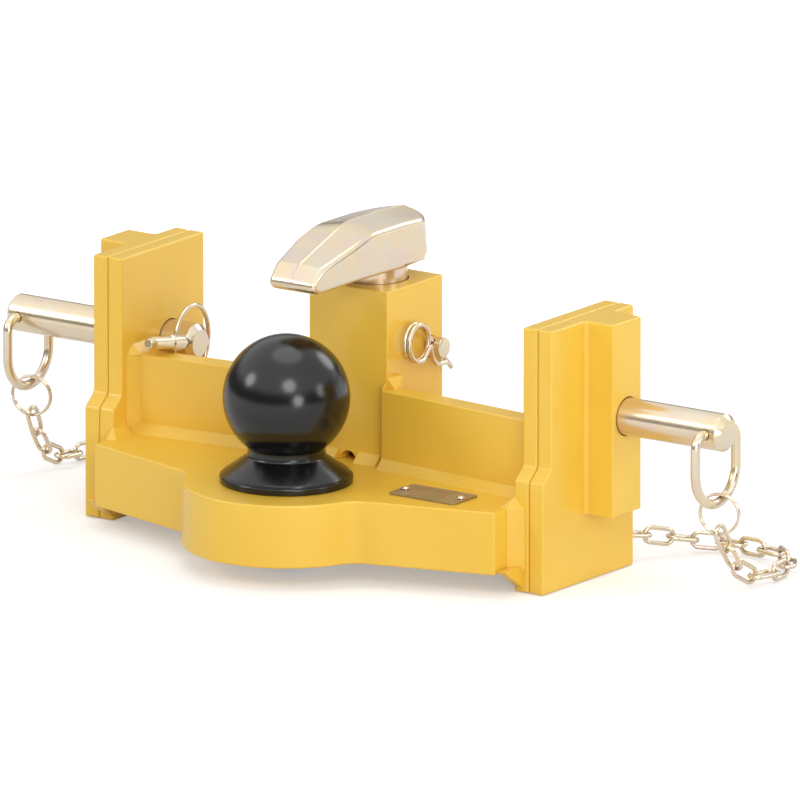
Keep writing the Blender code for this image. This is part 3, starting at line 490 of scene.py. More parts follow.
def makeBarePlate():
    material, tree, shader = newFinish("barePlate", plateLook)
    shader.inputs["Metallic"].default_value = plateLook["metallic"]
    # brushed along the plate's length
    stretch = addNode(tree, "ShaderNodeMapping")
    stretch.inputs["Scale"].default_value = plateLook["brushStretch"]
    tree.links.new(addNode(tree, "ShaderNodeTexCoord").outputs["Object"], stretch.inputs["Vector"])
    lines = noise(tree, stretch.outputs["Vector"], plateLook["brush"], 2.0, 0.6)
    addBump(tree, shader, lines.outputs["Fac"], plateLook)
    return material


yellowPaint = makePaint()
yellowZinc = makeZinc()
ballBlack = makeBallBlack()
barePlate = makeBarePlate()
print("finishes ready")


def painted(piece, *nodes):
    return fit(piece, "carriage", yellowPaint, "yellow_paint", *nodes)


def plated(piece, body, *nodes):
    return fit(piece, body, yellowZinc, "yellow_zinc", *nodes)


# painted steelwork: plates, base, block and wings, with their weld beads

steel = {"cheekIn": 154.1, "guideIn": 165.4, "layer": 11.0, "top": 167.7, "front": 37.7, "rear": 126.8,
         "step": 9.3, "stepTop": 79.3, "edge": 1.5, "pinBack": 89.75, "pinHeight": 106.3,
         "bore": 12.6, "boreFrom": 140.0, "boreTo": 210.0}
rail = {"face": 197.5, "half": 15.25, "foot": 43.7, "root": 3.0, "sunk": 3.0, "short": 0.05}
base = {"under": 14.0, "top": 54.5, "half": 153.8, "edgeAtPlate": 7.5, "slope": math.radians(15.6),
        "nose": 65.5, "fillet": 18.0, "edge": 1.4, "bore": 18.3, "boreTo": 80.0,
        "recess": 37.0, "recessTop": 20.0}
block = {"half": 30.0, "front": 66.5, "rear": 126.5, "top": 166.3, "edge": 0.7,
         "shaftBack": 96.5, "shaftBore": 20.9, "boreFrom": 40.0, "boreTo": 200.0,
         "pinBack": 113.5, "pinHeight": 122.8, "pinBore": 6.9, "pinReach": 50.0,
         "drain": 6.0, "drainFrom": 46.5}
wing = {"top": 104.5, "thick": 15.0, "frontAtBlock": 60.5, "frontAtPlate": 49.1, "edge": 0.8,
        "overlap": 0.5, "sunk": 1.0}
lowerFront = steel["front"] - steel["step"]


def arcPoints(centre, radius, first, last, steps):
    points = []
    for i in range(steps + 1):
        angle = math.radians(first + (last - first) * i / steps)
        points.append((centre[0] + radius * math.cos(angle), centre[1] + radius * math.sin(angle)))
    return points


def plateOutline():
    # the front edge steps forward low down, over a short slope with rounded corners
    front, low, top = steel["front"], lowerFront, steel["stepTop"]
    upper = [(front, top + 2.6), (front - 0.15, top + 1.2), (front - 0.6, top - 0.1),
             (front - 1.4, top - 1.3)]
    lower = [(low + 1.6, top - 6.6), (low + 0.8, top - 7.5), (low + 0.2, top - 8.7), (low, top - 10.0)]
    rear = [(steel["rear"], 0), (steel["rear"], steel["top"]), (front, steel["top"])]
    return rear + upper + lower + [(low, 0)]


def onPin(side, x):
    # a point on the axis of a locking pin
    return at(side * x, steel["pinBack"], steel["pinHeight"])


def pinHole(side):
    start = onPin(side, steel["boreFrom"])
    return roundRod("pinHole", start, onPin(side, steel["boreTo"]), mm(steel["bore"]), 64)


def makePlate(name, side, inside):
    outline = [at(side * inside, y, z) for y, z in plateOutline()]
    piece = prism(name, outline, (mm(side * steel["layer"]), 0, 0))
    bevelSharp(piece, mm(steel["edge"]), 4)
    return carve(piece, pinHole(side))


def makeCheek(name, side):
    piece = makePlate("cheek_%s_finish" % name, side, steel["cheekIn"])
    painted(smoothFaces(piece), "cheek_" + name)


def makeGuide(name, side):
    piece = makePlate("guide_%s_finish" % name, side, steel["guideIn"])
    # the rail, with a fillet at each root, sunk into the plate
    skin = steel["guideIn"] + steel["layer"]
    front = steel["pinBack"] - rail["half"]
    rear = steel["pinBack"] + rail["half"]
    root = rail["root"]
    sunk = skin - rail["sunk"]
    plan = [(sunk, front - root)] + arcPoints((skin + root, front - root), root, 180, 90, 8)
    plan += [(rail["face"], front), (rail["face"], rear)]
    plan += arcPoints((skin + root, rear + root), root, 270, 180, 8) + [(sunk, rear + root)]
    rise = (0, 0, mm(steel["top"] - rail["short"] - rail["foot"]))
    bar = prism("bar", [at(side * x, y, rail["foot"]) for x, y in plan], rise)
    edit(bar, "EDGE")

    def rounded(edge):
        ends = [v.co for v in edge.verts]
        outer = all(abs(c.x) > mm(rail["face"]) - 1e-5 for c in ends)
        upper = all(c.z > mm(steel["top"] - 1) and abs(c.x) > mm(skin) - 1e-5 for c in ends)
        return outer or upper

    pick("EDGE", rounded)
    roundPicked(mm(steel["edge"]), 4)
    stopEdit()
    carve(bar, pinHole(side))
    piece = joinPieces([piece, bar], piece.name)
    painted(smoothFaces(piece), "guide_" + name)


def makeBase():
    # slanting front edges, led into the round nose by a fillet on each side
    along = Vector((math.cos(base["slope"]), math.sin(base["slope"])))
    front = Vector((along.y, -along.x))
    line = front.dot(Vector((base["half"], base["edgeAtPlate"])))
    reach = math.sqrt((base["nose"] + base["fillet"]) ** 2 - (line + base["fillet"]) ** 2)
    centre = front * (line + base["fillet"]) + along * reach
    start = math.degrees(math.atan2(-front.y, -front.x))
    end = math.degrees(math.atan2(-centre.y, -centre.x)) % 360
    noseStart = math.degrees(math.atan2(centre.y, centre.x))
    right = [(base["half"], steel["rear"]), (base["half"], base["edgeAtPlate"])]
    right += arcPoints(centre, base["fillet"], start, end, 12)
    nose = arcPoints((0, 0), base["nose"], noseStart, -180 - noseStart, 60)
    outline = right + nose[1:-1] + [(-x, y) for x, y in reversed(right)]
    rise = (0, 0, mm(base["top"] - base["under"]))
    piece = prism("base_plate_finish", [at(x, y, base["under"]) for x, y in outline], rise)
    bevelSharp(piece, mm(base["edge"]), 4)
    floor = at(0, 0, 0)
    carve(piece, roundRod("shankHole", floor, at(0, 0, base["boreTo"]), mm(base["bore"]), 64))
    carve(piece, roundRod("nutRecess", floor, at(0, 0, base["recessTop"]), mm(base["recess"]), 64))
    painted(smoothFaces(piece), "base_plate")


def makeBlock():
    deselect()
    bpy.ops.mesh.primitive_cube_add(size=1)
    piece = bpy.context.object
    piece.name = "block_finish"
    low = at(-block["half"], block["front"], base["top"])
    high = at(block["half"], block["rear"], block["top"])
    piece.location = (low + high) / 2
    piece.scale = high - low
    applyPlace()
    bevelSharp(piece, mm(block["edge"]), 3)
    foot, top = (at(0, block["shaftBack"], z) for z in (block["boreFrom"], block["boreTo"]))
    carve(piece, roundRod("shaftHole", foot, top, mm(block["shaftBore"]), 96))
    cross = at(0, block["pinBack"], block["pinHeight"])
    drill(piece, "crossHole", cross, Vector((mm(block["pinReach"]), 0, 0)), block["pinBore"], 48)
    front, middle = (at(0, y, base["top"]) for y in (block["drainFrom"], block["shaftBack"]))
    carve(piece, roundRod("drainHole", front, middle, mm(block["drain"]), 48))
    painted(smoothFaces(piece), "block")


def wingFront(x):
    share = (x - block["half"]) / (steel["cheekIn"] - block["half"])
    return wing["frontAtBlock"] + (wing["frontAtPlate"] - wing["frontAtBlock"]) * share


def hulled(name, points, edge):
    # a solid shrunk round its corner points, edges rounded
    piece = drawLine(name, points)
    selectAll()
    bpy.ops.mesh.convex_hull()
    cleanShell()
    bpy.ops.mesh.dissolve_limited(angle_limit=math.radians(1))
    stopEdit()
    bevelSharp(piece, edge, 3, 20)
    return piece


def makeWing(name, side):
    points = []
    for x in (block["half"] - wing["overlap"], steel["cheekIn"] + wing["overlap"]):
        for y in (wingFront(x), wingFront(x) + wing["thick"]):
            points += [at(side * x, y, base["top"] - wing["sunk"]), at(side * x, y, wing["top"])]
    piece = hulled("wing_%s_finish" % name, points, mm(wing["edge"]))
    painted(smoothFaces(piece), "wing_" + name)


# foot, side and front are leg lengths; sink, lap and bury say how far a bead runs into its neighbours
weld = {"foot": 7.0, "side": 6.5, "front": 8.0, "edge": 0.7, "sink": 1.0, "lap": 0.4, "bury": 0.6,
        "lift": 0.3, "brim": 0.1, "drainGap": 7.5, "underFront": 8.5, "underTop": 17.0, "underLow": 1.6,
        "topReach": 7.0, "topFront": 7.0, "topRear": 8.6, "topEnd": 8.0, "topShort": 0.2,
        "cornerBack": 0.5, "cornerRise": 5.5}


def footBead(ends):
    # bead along the foot of a wall, between two ends (x, front of the wall)
    floor, sink, foot = base["top"] - weld["bury"], weld["sink"], weld["foot"]
    bead = []
    for x, front in ends:
        bead += [(x, front + sink, floor), (x, front - foot, floor),
                 (x, front, floor + foot), (x, front + sink, floor + foot)]
    return bead


def plateBeads():
    # at the base's end, under it, and along the cheek's foot, mitred round its front corner
    sink, lap, foot, upright = weld["sink"], weld["lap"], weld["foot"], weld["front"]
    cheek, floor, behind = steel["cheekIn"], base["top"] - weld["bury"], lowerFront + 2 * sink
    corners = ((base["half"], lowerFront + sink), (base["half"], lowerFront - upright),
               (cheek + upright + sink, lowerFront + sink))
    heights = (base["under"] + weld["lift"], base["top"] + weld["lift"])
    end = [(x, y, z) for x, y in corners for z in heights]
    slant = ((weld["underFront"], weld["underTop"]), (behind, weld["underTop"]), (behind, weld["underLow"]))
    under = [(x, y, z) for x in (cheek + lap, cheek + upright - sink) for y, z in slant]
    back = wing["frontAtPlate"] - foot - lap
    along = [(cheek + sink, back, floor), (cheek - foot, back, floor), (cheek + sink, back, floor + foot),
             (cheek - foot, lowerFront - foot, floor), (cheek, lowerFront - upright, floor),
             (cheek + upright, lowerFront, floor), (cheek + upright, behind, floor),
             (cheek + sink, lowerFront, floor + foot), (cheek, lowerFront, floor + foot),
             (cheek, back, floor + foot)]
    return [end, under, along]


def wingBeads():
    # along the wing's foot, then up the cheek and back over the wing's top
    sink, leg, top = weld["sink"], weld["side"], wing["top"]
    inner, outer = block["half"] - weld["lap"], steel["cheekIn"] + weld["lap"]
    front = wingFront(outer)
    upright = []
    for z in (base["top"] - weld["bury"], top):
        upright += [(outer, front + sink, z), (outer, front - leg, z), (outer - leg, front + sink, z)]
    brim = top - weld["brim"]
    over = [(outer, front - leg, brim)]
    for y in (front, front + wing["thick"] - sink):
        over += [(outer, y, top - sink), (outer, y, top + leg),
                 (outer - leg, y, top - sink), (outer - leg, y, brim)]
    return [footBead((x, wingFront(x)) for x in (inner, outer)), upright, over]


def blockBeads():
    # on the wing's top against the block, up the block's front corner, and along its foot beside the drain
    sink, front, top = weld["sink"], block["front"], wing["top"]
    inner = block["half"] - weld["lap"]
    outer = inner + weld["topReach"]
    ends = ((front + weld["lap"], weld["topFront"], 0.0),
            (wingFront(inner) + wing["thick"] - weld["topShort"], weld["topRear"], weld["topEnd"]))
    over = []
    for y, high, end in ends:
        over += [(inner, y, top - sink), (inner, y, top + high),
                 (outer, y, top - sink), (outer, y, top + end)]
    proud = front - wingFront(inner)
    near, back = inner + weld["bury"], front + weld["cornerBack"]
    corner = []
    for z in (base["top"] - weld["bury"], top + sink):
        corner += [(near, back, z), (near, front - proud + weld["lap"], z), (near - proud, back, z)]
    corner += [(near, back, top + weld["cornerRise"])]
    foot = footBead((x, front) for x in (weld["drainGap"], block["half"] - proud + weld["bury"]))
    return [over, corner, foot]


def makeBeads(name, side):
    # the corner points are those of the right-hand side
    pieces = []
    for i, corners in enumerate(plateBeads() + wingBeads() + blockBeads()):
        points = [at(side * x, y, z) for x, y, z in corners]
        pieces.append(hulled("bead_%s_%d" % (name, i), points, mm(weld["edge"])))
    painted(smoothFaces(joinPieces(pieces, "weld_beads_" + name)))


makeBase()
makeBlock()
for name, side in sides:
    makeCheek(name, side)
    makeGuide(name, side)
    makeWing(name, side)
    makeBeads(name, side)
print("steelwork welded")

# ball with its neck, flange and shank, its washer and its nut

ball = {"radius": 40.0, "centre": 108.4, "neck": 25.0, "neckFoot": 71.4, "cone": 40.3, "coneFoot": 60.2,
        "flange": 42.0, "flangeTop": 59.0, "foot": 54.8, "shank": 18.0, "shankFoot": 7.4, "nutEdge": 0.4}


def ballProfile():
    radius, neck, neckFoot = ball["radius"], ball["neck"], ball["neckFoot"]
    waist = math.degrees(-math.acos(neck / radius))
    points = arcPoints((0, ball["centre"]), radius, 90, waist, 48)
    # short neck, flared foot and its rim
    low = points[-1][1]
    points += [(neck - 0.35, low - 0.9), (neck - 0.5, low - 2.2), (neck - 0.4, neckFoot + 1.4),
               (neck - 0.1, neckFoot + 0.4), (neck + 0.6, neckFoot - 0.6)]
    cone, coneFoot, rim, rimTop = ball["cone"], ball["coneFoot"], ball["flange"], ball["flangeTop"]
    points += [(cone - 0.9, coneFoot + 0.8), (cone, coneFoot), (cone + 0.1, rimTop + 0.4),
               (cone + 0.5, rimTop + 0.05), (rim - 0.5, rimTop), (rim - 0.1, rimTop - 0.5),
               (rim, rimTop - 1.2)]
    foot, shank, shankFoot = ball["foot"], ball["shank"], ball["shankFoot"]
    points += [(rim - 0.2, foot + 0.4), (rim - 0.7, foot), (shank, foot), (shank, shankFoot + 1),
               (shank - 1, shankFoot), (0, shankFoot)]
    return points


piece = spun("ball_finish", ballProfile(), at(0, 0, 0), (0, 0, 1), 128)
fit(smoothFaces(piece, 40), "carriage", ballBlack, "black_ball", "ball")
for node in ("ball_washer", "ball_nut"):
    plated(softCopy(node, mm(ball["nutEdge"])), "carriage", node)
print("ball turned")

# hold-down: shaft and arm

shaft = {"radius": 20.0, "waist": 10.0, "waistLow": 115.7, "waistHigh": 129.9, "foot": 54.8,
         "shoulder": 177.7, "spigot": 13.0}


def makeShaft():
    radius, waist, spigot = shaft["radius"], shaft["waist"], shaft["spigot"]
    top, foot, low, high = shaft["shoulder"], shaft["foot"], shaft["waistLow"], shaft["waistHigh"]
    profile = ((0, top + 2), (spigot, top + 2), (spigot, top), (radius - 0.6, top), (radius, top - 0.6),
               (radius, high), (waist, high), (waist, low), (radius, low),
               (radius, foot + 2), (radius - 2, foot), (0, foot))
    piece = spun("hold_down_shaft_finish", profile, at(0, block["shaftBack"], 0), (0, 0, 1))
    plated(smoothFaces(piece), "hold_down", "hold_down_shaft")


# arm: (back, height, fall towards the sides) along the ridge, then the sole from the rear to the nose
arm = {"noseHalf": 17.5, "half": 22.5, "straight": 12.0, "wideFrom": 45.0, "rear": 129.0, "corner": 16.0,
       "edge": 3.0, "sharp": math.radians(38), "seam": 0.9, "seamRise": 0.5, "seamFrom": 181.0,
       "seamShort": 2.0}
armRidge = ((4.4, 180.4, 0.0), (8.0, 184.9, 0.02), (14.5, 191.2, 0.04), (42.5, 201.4, 0.10),
            (54.0, 205.6, 0.155), (60.5, 207.7, 0.18), (67.0, 208.6, 0.195), (97.0, 208.6, 0.20),
            (129.0, 206.9, 0.20))
armSole = ((129.0, 181.0), (118.0, 176.4), (96.0, 174.9), (60.0, 175.9), (42.0, 176.1), (24.0, 174.8),
           (10.0, 174.2), (5.6, 176.0))


def armHalf(back):
    # half width, swelling from the nose to the full width
    share = (back - arm["straight"]) / (arm["wideFrom"] - arm["straight"])
    share = min(max(share, 0.0), 1.0)
    return arm["noseHalf"] + (arm["half"] - arm["noseHalf"]) * (1.25 * share - 0.25 * share ** 2)


def makeArm():
    half = arm["half"]
    stations = list(armRidge) + [(y, z, 0.0) for y, z in armSole]
    piece = drawLine("hold_down_arm_finish", [at(-half, y, z) for y, z, fall in stations])
    selectAll()
    bpy.ops.mesh.edge_face_add()
    for _ in range(2):
        drawOut((mm(half), 0, 0))
    cleanShell()
    # draw in the nose and let the roof down towards the sides
    for y, z, fall in stations:
        place = at(0, y, z)
        pick("VERT", lambda v: (v.co.yz - place.yz).length < 1e-5 and abs(v.co.x) > 0.001)
        bpy.ops.transform.resize(value=(armHalf(y) / half, 1, 1), center_override=(0, place.y, place.z))
        bpy.ops.transform.translate(value=(0, 0, -mm(fall * armHalf(y))))
    rear = at(0, arm["rear"], 0).y
    pick("EDGE", lambda e: all(v.co.y > rear - 1e-5 and abs(v.co.x) > 0.001 for v in e.verts))
    roundPicked(mm(arm["corner"]), 10)
    pick("EDGE", lambda e: len(e.link_faces) == 2 and e.calc_face_angle() > arm["sharp"])
    roundPicked(mm(arm["edge"]), 8)
    # thin raised seam along the ridge
    seamEnd = rear - mm(arm["seamShort"])

    def onSeam(vert):
        return abs(vert.co.x) < 1e-6 and vert.co.y < seamEnd

    seamFrom = mm(arm["seamFrom"])
    pick("EDGE", lambda e: all(onSeam(v) for v in e.verts) and max(v.co.z for v in e.verts) > seamFrom)
    roundPicked(mm(arm["seam"]), 2)
    pick("VERT", lambda v: onSeam(v) and v.co.z > seamFrom)
    bpy.ops.transform.translate(value=(0, 0, mm(arm["seamRise"])))
    selectAll()
    bpy.ops.mesh.normals_make_consistent(inside=False)
    stopEdit()
    plated(smoothFaces(piece, 16), "hold_down", "hold_down_arm")


makeShaft()
makeArm()
print("hold-down made")

# cross pin and its clip

crossPin = {"radius": 6.5, "end": 41.0, "under": -30.3, "head": 10.0, "headBack": -36.3}
clip = {"x": 34.4, "wire": 3.1, "hole": 2.05, "holeReach": 20.0, "coil": 11.6, "coilEnd": 635.0,
        "pitch": 3.4, "distance": 22.6, "tip": 23.0, "lean": math.radians(45), "legGap": 1.2, "bendSteps": 8,
        "wave": ((95.2, 120.9), (99.0, 125.0), (101.0, 125.6), (101.9, 121.8), (104.0, 117.3), (107.9, 113.9),
                 (112.8, 112.9), (117.8, 112.6), (121.5, 110.6))}
clipHome = at(clip["x"], block["pinBack"], block["pinHeight"])
clipDown = Vector((0, math.cos(clip["lean"]), -math.sin(clip["lean"])))
clipOut = Vector((0, math.sin(clip["lean"]), math.cos(clip["lean"])))


def makeCrossPin():
    radius, end = crossPin["radius"], crossPin["end"]
    head, under, back = crossPin["head"], crossPin["under"], crossPin["headBack"]
    profile = ((0, end), (radius - 1.2, end), (radius - 0.3, end - 0.4), (radius, end - 1.2), (radius, under),
               (head - 0.3, under), (head, under - 0.4), (head, back + 1.6), (head - 0.5, back + 0.5),
               (head - 1.6, back), (0, back))
    piece = spun("cross_pin_finish", profile, at(0, block["pinBack"], block["pinHeight"]), (1, 0, 0), 64)
    drill(piece, "clipHole", clipHome, clipDown * mm(clip["holeReach"]), clip["hole"], 24)
    plated(smoothFaces(piece), "cross_pin", "cross_pin")


def smoothLine(stops, steps):
    # an even curve through all the stops
    ends = [stops[0] * 2 - stops[1]] + list(stops) + [stops[-1] * 2 - stops[-2]]
    points = []
    for i in range(1, len(ends) - 2):
        a, b, c, d = ends[i - 1 : i + 3]
        for k in range(steps):
            t = k / steps
            bend = (2 * a - 5 * b + 4 * c - d) * t ** 2 + (3 * b - a - 3 * c + d) * t ** 3
            points.append((2 * b + (c - a) * t + bend) / 2)
    points.append(ends[-2])
    return points


def clipLine():
    # straight leg through the pin, the coil, then the waved leg that hugs the pin from below
    coil = mm(clip["coil"])
    centre = clipHome - clipDown * mm(clip["distance"]) - clipOut * coil
    points = [clipHome + clipDown * mm(clip["tip"]), clipHome]
    first, last, steps = 90 - math.degrees(clip["lean"]), clip["coilEnd"], 72
    for i in range(steps + 1):
        angle = math.radians(first + (last - first) * i / steps)
        x = mm(clip["x"]) + mm(clip["pitch"]) * (angle - math.radians(first)) / (2 * math.pi)
        points.append(Vector((x, centre.y + coil * math.cos(angle), centre.z + coil * math.sin(angle))))
    beside = clip["x"] + clip["pitch"] + clip["legGap"]
    stops = points[-2:] + [at(beside, y, z) for y, z in clip["wave"]]
    return points[:-1] + smoothLine(stops, clip["bendSteps"])[clip["bendSteps"]:]


makeCrossPin()
plated(bentWire("r_clip_finish", clipLine(), mm(clip["wire"])), "clip", "r_clip")
print("cross pin and clip made")

# locking pins with their D-rings, linch pins and split rings

lockPin = {"radius": 12.0, "inner": 130.6, "outer": 274.9, "chamfer": 3.4, "edge": 0.35,
           "ringPlay": 0.4, "linchPlay": 0.3, "holeReach": 20.0}
dRing = {"x": 264.6, "wire": 6.2, "half": 22.0, "drop": 46.5, "bend": 8.0}
linch = {"x": 136.5, "radius": 4.0, "head": 5.25, "slim": 0.86, "collar": 13.0, "tilt": math.radians(10),
         "tip": -14.6, "headStart": 12.8, "headEnd": 49.0, "bailPlay": 0.3, "holeReach": 10.0}
bail = {"wire": 3.0, "pivot": 19.5, "centre": 2.0, "halfLength": 18.5, "halfHeight": 23.5,
        "endIn": 2.0, "endOut": 5.0}
splitRing = {"radius": 12.7, "wire": 1.6, "pitch": 1.9, "turn": math.radians(15), "turns": 1.94}


def linchAlong(side):
    return Vector((0, side * math.cos(linch["tilt"]), math.sin(linch["tilt"])))


def linchUp(side):
    return Vector((0, -side * math.sin(linch["tilt"]), math.cos(linch["tilt"])))


def makeLockPin(name, side):
    edge, chamfer, radius = lockPin["edge"], lockPin["chamfer"], lockPin["radius"]
    # chamfered end, its two corners just broken
    end = ((radius - chamfer - edge, 0), (radius - chamfer + edge * 0.4, edge * 0.6),
           (radius - edge * 0.5, chamfer - edge * 0.3), (radius, chamfer + edge))
    profile = [(0, lockPin["outer"])] + [(r, lockPin["outer"] - s) for r, s in end]
    profile += [(r, lockPin["inner"] + s) for r, s in reversed(end)] + [(0, lockPin["inner"])]
    piece = spun("lock_pin_%s_finish" % name, profile, onPin(side, 0), (side, 0, 0))
    reach = mm(lockPin["holeReach"])
    ringHole = dRing["wire"] / 2 + lockPin["ringPlay"]
    drill(piece, "ringHole", onPin(side, dRing["x"]), Vector((0, reach, 0)), ringHole)
    linchHole = linch["radius"] + lockPin["linchPlay"]
    drill(piece, "linchHole", onPin(side, linch["x"]), linchAlong(side) * reach, linchHole)
    plated(smoothFaces(piece), "lock_pin_" + name, "lock_pin_" + name)


def makeDRing(name, side):
    half, bend = dRing["half"], dRing["bend"]
    loop = arcPoints((half - bend, -bend), bend, 90, 0, 10)
    loop += arcPoints((0, half - dRing["drop"]), half, 0, -180, 40)
    loop += arcPoints((bend - half, -bend), bend, 180, 90, 10)
    points = [onPin(side, dRing["x"]) + Vector((0, mm(y), mm(z))) for y, z in loop]
    piece = bentWire("d_ring_%s_finish" % name, points, mm(dRing["wire"]), True, 6)
    plated(piece, "d_ring_" + name, "d_ring_" + name)


def makeLinchPin(name, side):
    radius, head, tip = linch["radius"], linch["head"], linch["tip"]
    start, end = linch["headStart"], linch["headEnd"]
    slim, collar = head * linch["slim"], start + linch["collar"]
    profile = ((0, end), (slim * 0.55, end), (slim * 0.68, end - 0.4), (slim * 0.97, end - 3.6),
               (slim, end - 4.6), (slim, collar + 0.4), (head - 0.4, collar), (head, collar - 0.6),
               (head, start + 1.0), (head - 0.3, start + 0.3), (head - 1.0, start), (radius, start),
               (radius, tip + 2.5), (radius * 0.8, tip + 0.8), (radius * 0.5, tip), (0, tip))
    home = onPin(side, linch["x"])
    piece = spun("linch_pin_%s_finish" % name, profile, home, linchAlong(side), 48)
    hole = home + linchAlong(side) * mm(bail["pivot"])
    reach = linchUp(side) * mm(linch["holeReach"])
    drill(piece, "bailHole", hole, reach, bail["wire"] / 2 + linch["bailPlay"], 24)
    plated(smoothFaces(piece), "linch_pin_" + name, "linch_pin_" + name)


def makeBail(name, side):
    # an oval spring ring, its two ends turned into the linch pin
    pivot, home, steps = bail["pivot"], onPin(side, linch["x"]), 60
    start = math.acos((pivot - bail["centre"]) / bail["halfLength"])
    flat = [(pivot, bail["endIn"]), (pivot, bail["endOut"])]
    for i in range(steps + 1):
        angle = start + (2 * math.pi - 2 * start) * i / steps
        along = bail["centre"] + bail["halfLength"] * math.cos(angle)
        flat.append((along, bail["halfHeight"] * math.sin(angle)))
    flat += [(pivot, -bail["endOut"]), (pivot, -bail["endIn"])]
    points = [home + linchAlong(side) * mm(s) + linchUp(side) * mm(p) for s, p in flat]
    piece = bentWire("bail_%s_finish" % name, points, mm(bail["wire"]))
    plated(piece, "bail_" + name, "bail_" + name)


def boxMiddle(node):
    low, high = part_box(node)
    return (low + high) / 2


def makeSplitRing(name, side):
    centre = boxMiddle("split_ring_" + name)
    turn, turns, radius, steps = splitRing["turn"], splitRing["turns"], mm(splitRing["radius"]), 120
    normal = Vector((math.sin(turn), -math.cos(turn), 0))
    level = Vector((math.cos(turn), math.sin(turn), 0)) * side
    points = []
    for i in range(steps + 1):
        angle = 2 * math.pi * turns * i / steps
        shift = mm(splitRing["pitch"]) * turns * (i / steps - 0.5) * side
        spoke = level * math.cos(angle) + Vector((0, 0, math.sin(angle)))
        points.append(centre + normal * shift + spoke * radius)
    piece = bentWire("split_ring_%s_finish" % name, points, mm(splitRing["wire"]), False, 3)
    plated(piece, "d_ring_" + name, "split_ring_" + name)


for name, side in sides:
    makeLockPin(name, side)
    makeDRing(name, side)
    makeLinchPin(name, side)
    makeBail(name, side)
    makeSplitRing(name, side)
print("locking pins made")

# chains: one link, set on each packed link, and the eye at the end of each chain

link = {"wire": 2.8, "width": 12.5, "count": 14, "split": 7}
eye = {"wire": 4.6, "radius": 7.0, "x": 165.25, "height": 16.5, "start": 127.1, "leg": 2.0}


def nodePlace(node):
    # middle, long and wide direction, and length of a packed link
    points = np.array([v.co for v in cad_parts[node].data.vertices], float)
    points = np.unique(points.round(7), axis=0)
    middle = points.mean(axis=0)
    axes = np.linalg.svd(points - middle, full_matrices=False)[2]
    length = np.ptp((points - middle) @ axes[0])
    return Vector(middle), Vector(axes[0]), Vector(axes[1]), length


def makeLink(node):
    middle, along, wide, length = nodePlace(node)
    bend = mm(link["width"] - link["wire"]) / 2
    straight = (length - mm(link["wire"])) / 2 - bend
    loop = arcPoints((straight, 0), bend, -90, 90, 14) + arcPoints((-straight, 0), bend, 90, 270, 14)
    points = [middle + along * s + wide * w for s, w in loop]
    return bentWire(node + "_finish", points, mm(link["wire"]), True)


def hangChain(name):
    # the first links hang between the pin and its D-ring, the rest between the carriage and the pin; all are
    # set in place alike, on no body
    nodes = ["link_%s_%02d" % (name, i + 1) for i in range(link["count"])]
    for i, node in enumerate(nodes):
        piece = plated(makeLink(node), None, node)
        if i < link["split"]:
            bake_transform(piece)
        else:
            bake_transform(piece)


def makeEye(name, side):
    start, height, radius = eye["start"], eye["height"], eye["radius"]
    flat = [(start, height - radius)] + arcPoints((start + eye["leg"], height), radius, -90, 90, 24)
    flat.append((start, height + radius))
    points = [at(side * eye["x"], y, z) for y, z in flat]
    painted(bentWire("chain_eye_%s_finish" % name, points, mm(eye["wire"])), "chain_eye_" + name)


for name, _ in sides:
    hangChain(name)
for name, side in sides:
    makeEye(name, side)
print("chains hung")

# type plate, left blank, with its rivets

label = {"x": 97.0, "y": 21.9, "low": 54.8, "length": 50.0, "width": 27.0, "thick": 1.0, "corner": 2.0,
         "rim": 1.4, "rimSlope": 0.5, "raise": 0.25}
rivet = {"apart": 42.5, "head": 2.75, "dome": 1.6, "lift": 0.3, "shank": 1.5, "foot": 48.5}


def makeLabel():
    deselect()
    bpy.ops.mesh.primitive_plane_add(size=1, location=at(label["x"], label["y"], label["low"]))
    piece = bpy.context.object
    piece.name = "type_plate_finish"
    piece.scale = (mm(label["length"]), mm(label["width"]), 1)
    applyPlace()
    edit(piece)
    selectAll()
    bpy.ops.mesh.bevel(offset=mm(label["corner"]), segments=6, affect="VERTICES")
    selectAll()
    drawOut((0, 0, mm(label["thick"])))
    bpy.ops.mesh.inset(thickness=mm(label["rim"]), depth=0)
    bpy.ops.mesh.inset(thickness=mm(label["rimSlope"]), depth=-mm(label["raise"]))
    cleanShell()
    stopEdit()
    fit(smoothFaces(piece, 20), "carriage", barePlate, "bare_plate", "type_plate")


def makeRivet(name, x):
    head, shank, foot = rivet["head"], rivet["shank"], rivet["foot"]
    top = label["low"] + label["thick"] + rivet["lift"]
    angles = [k * math.pi / 20 for k in range(11)]
    profile = [(head * math.sin(a), top + rivet["dome"] * math.cos(a)) for a in angles]
    profile += [(shank, top), (shank, foot), (0, foot)]
    piece = spun(name + "_finish", profile, at(x, label["y"], 0), (0, 0, 1), 32)
    plated(smoothFaces(piece, 40), "carriage", name)


makeLabel()
makeRivet("rivet_1", label["x"] - rivet["apart"] / 2)
makeRivet("rivet_2", label["x"] + rivet["apart"] / 2)
print("type plate set")

# floor, light and camera

floorLook = {"size": 12, "drop": 0.5, "colour": (0.80, 0.80, 0.80, 1), "rough": 0.9,
             "fade": (0.45, 1.3), "glow": 0.34, "nearShine": 0.18,
             "behind": (0.25, 0.65), "behindShine": 0.28, "before": (-0.2, -0.6), "beforeShine": 0.46}
skyLook = {"strength": 0.55, "dark": (0.13, 0.125, 0.115, 1), "darkTo": 0.61, "whiteFrom": 0.70,
           "horizon": (0.66, 0.64, 0.62, 1), "horizonBack": (0.5, 0.7), "horizonHeight": (0.15, 0.06),
           "shineFrom": (-0.3, 0.8), "frontShine": 1.35, "backShine": 0.95}
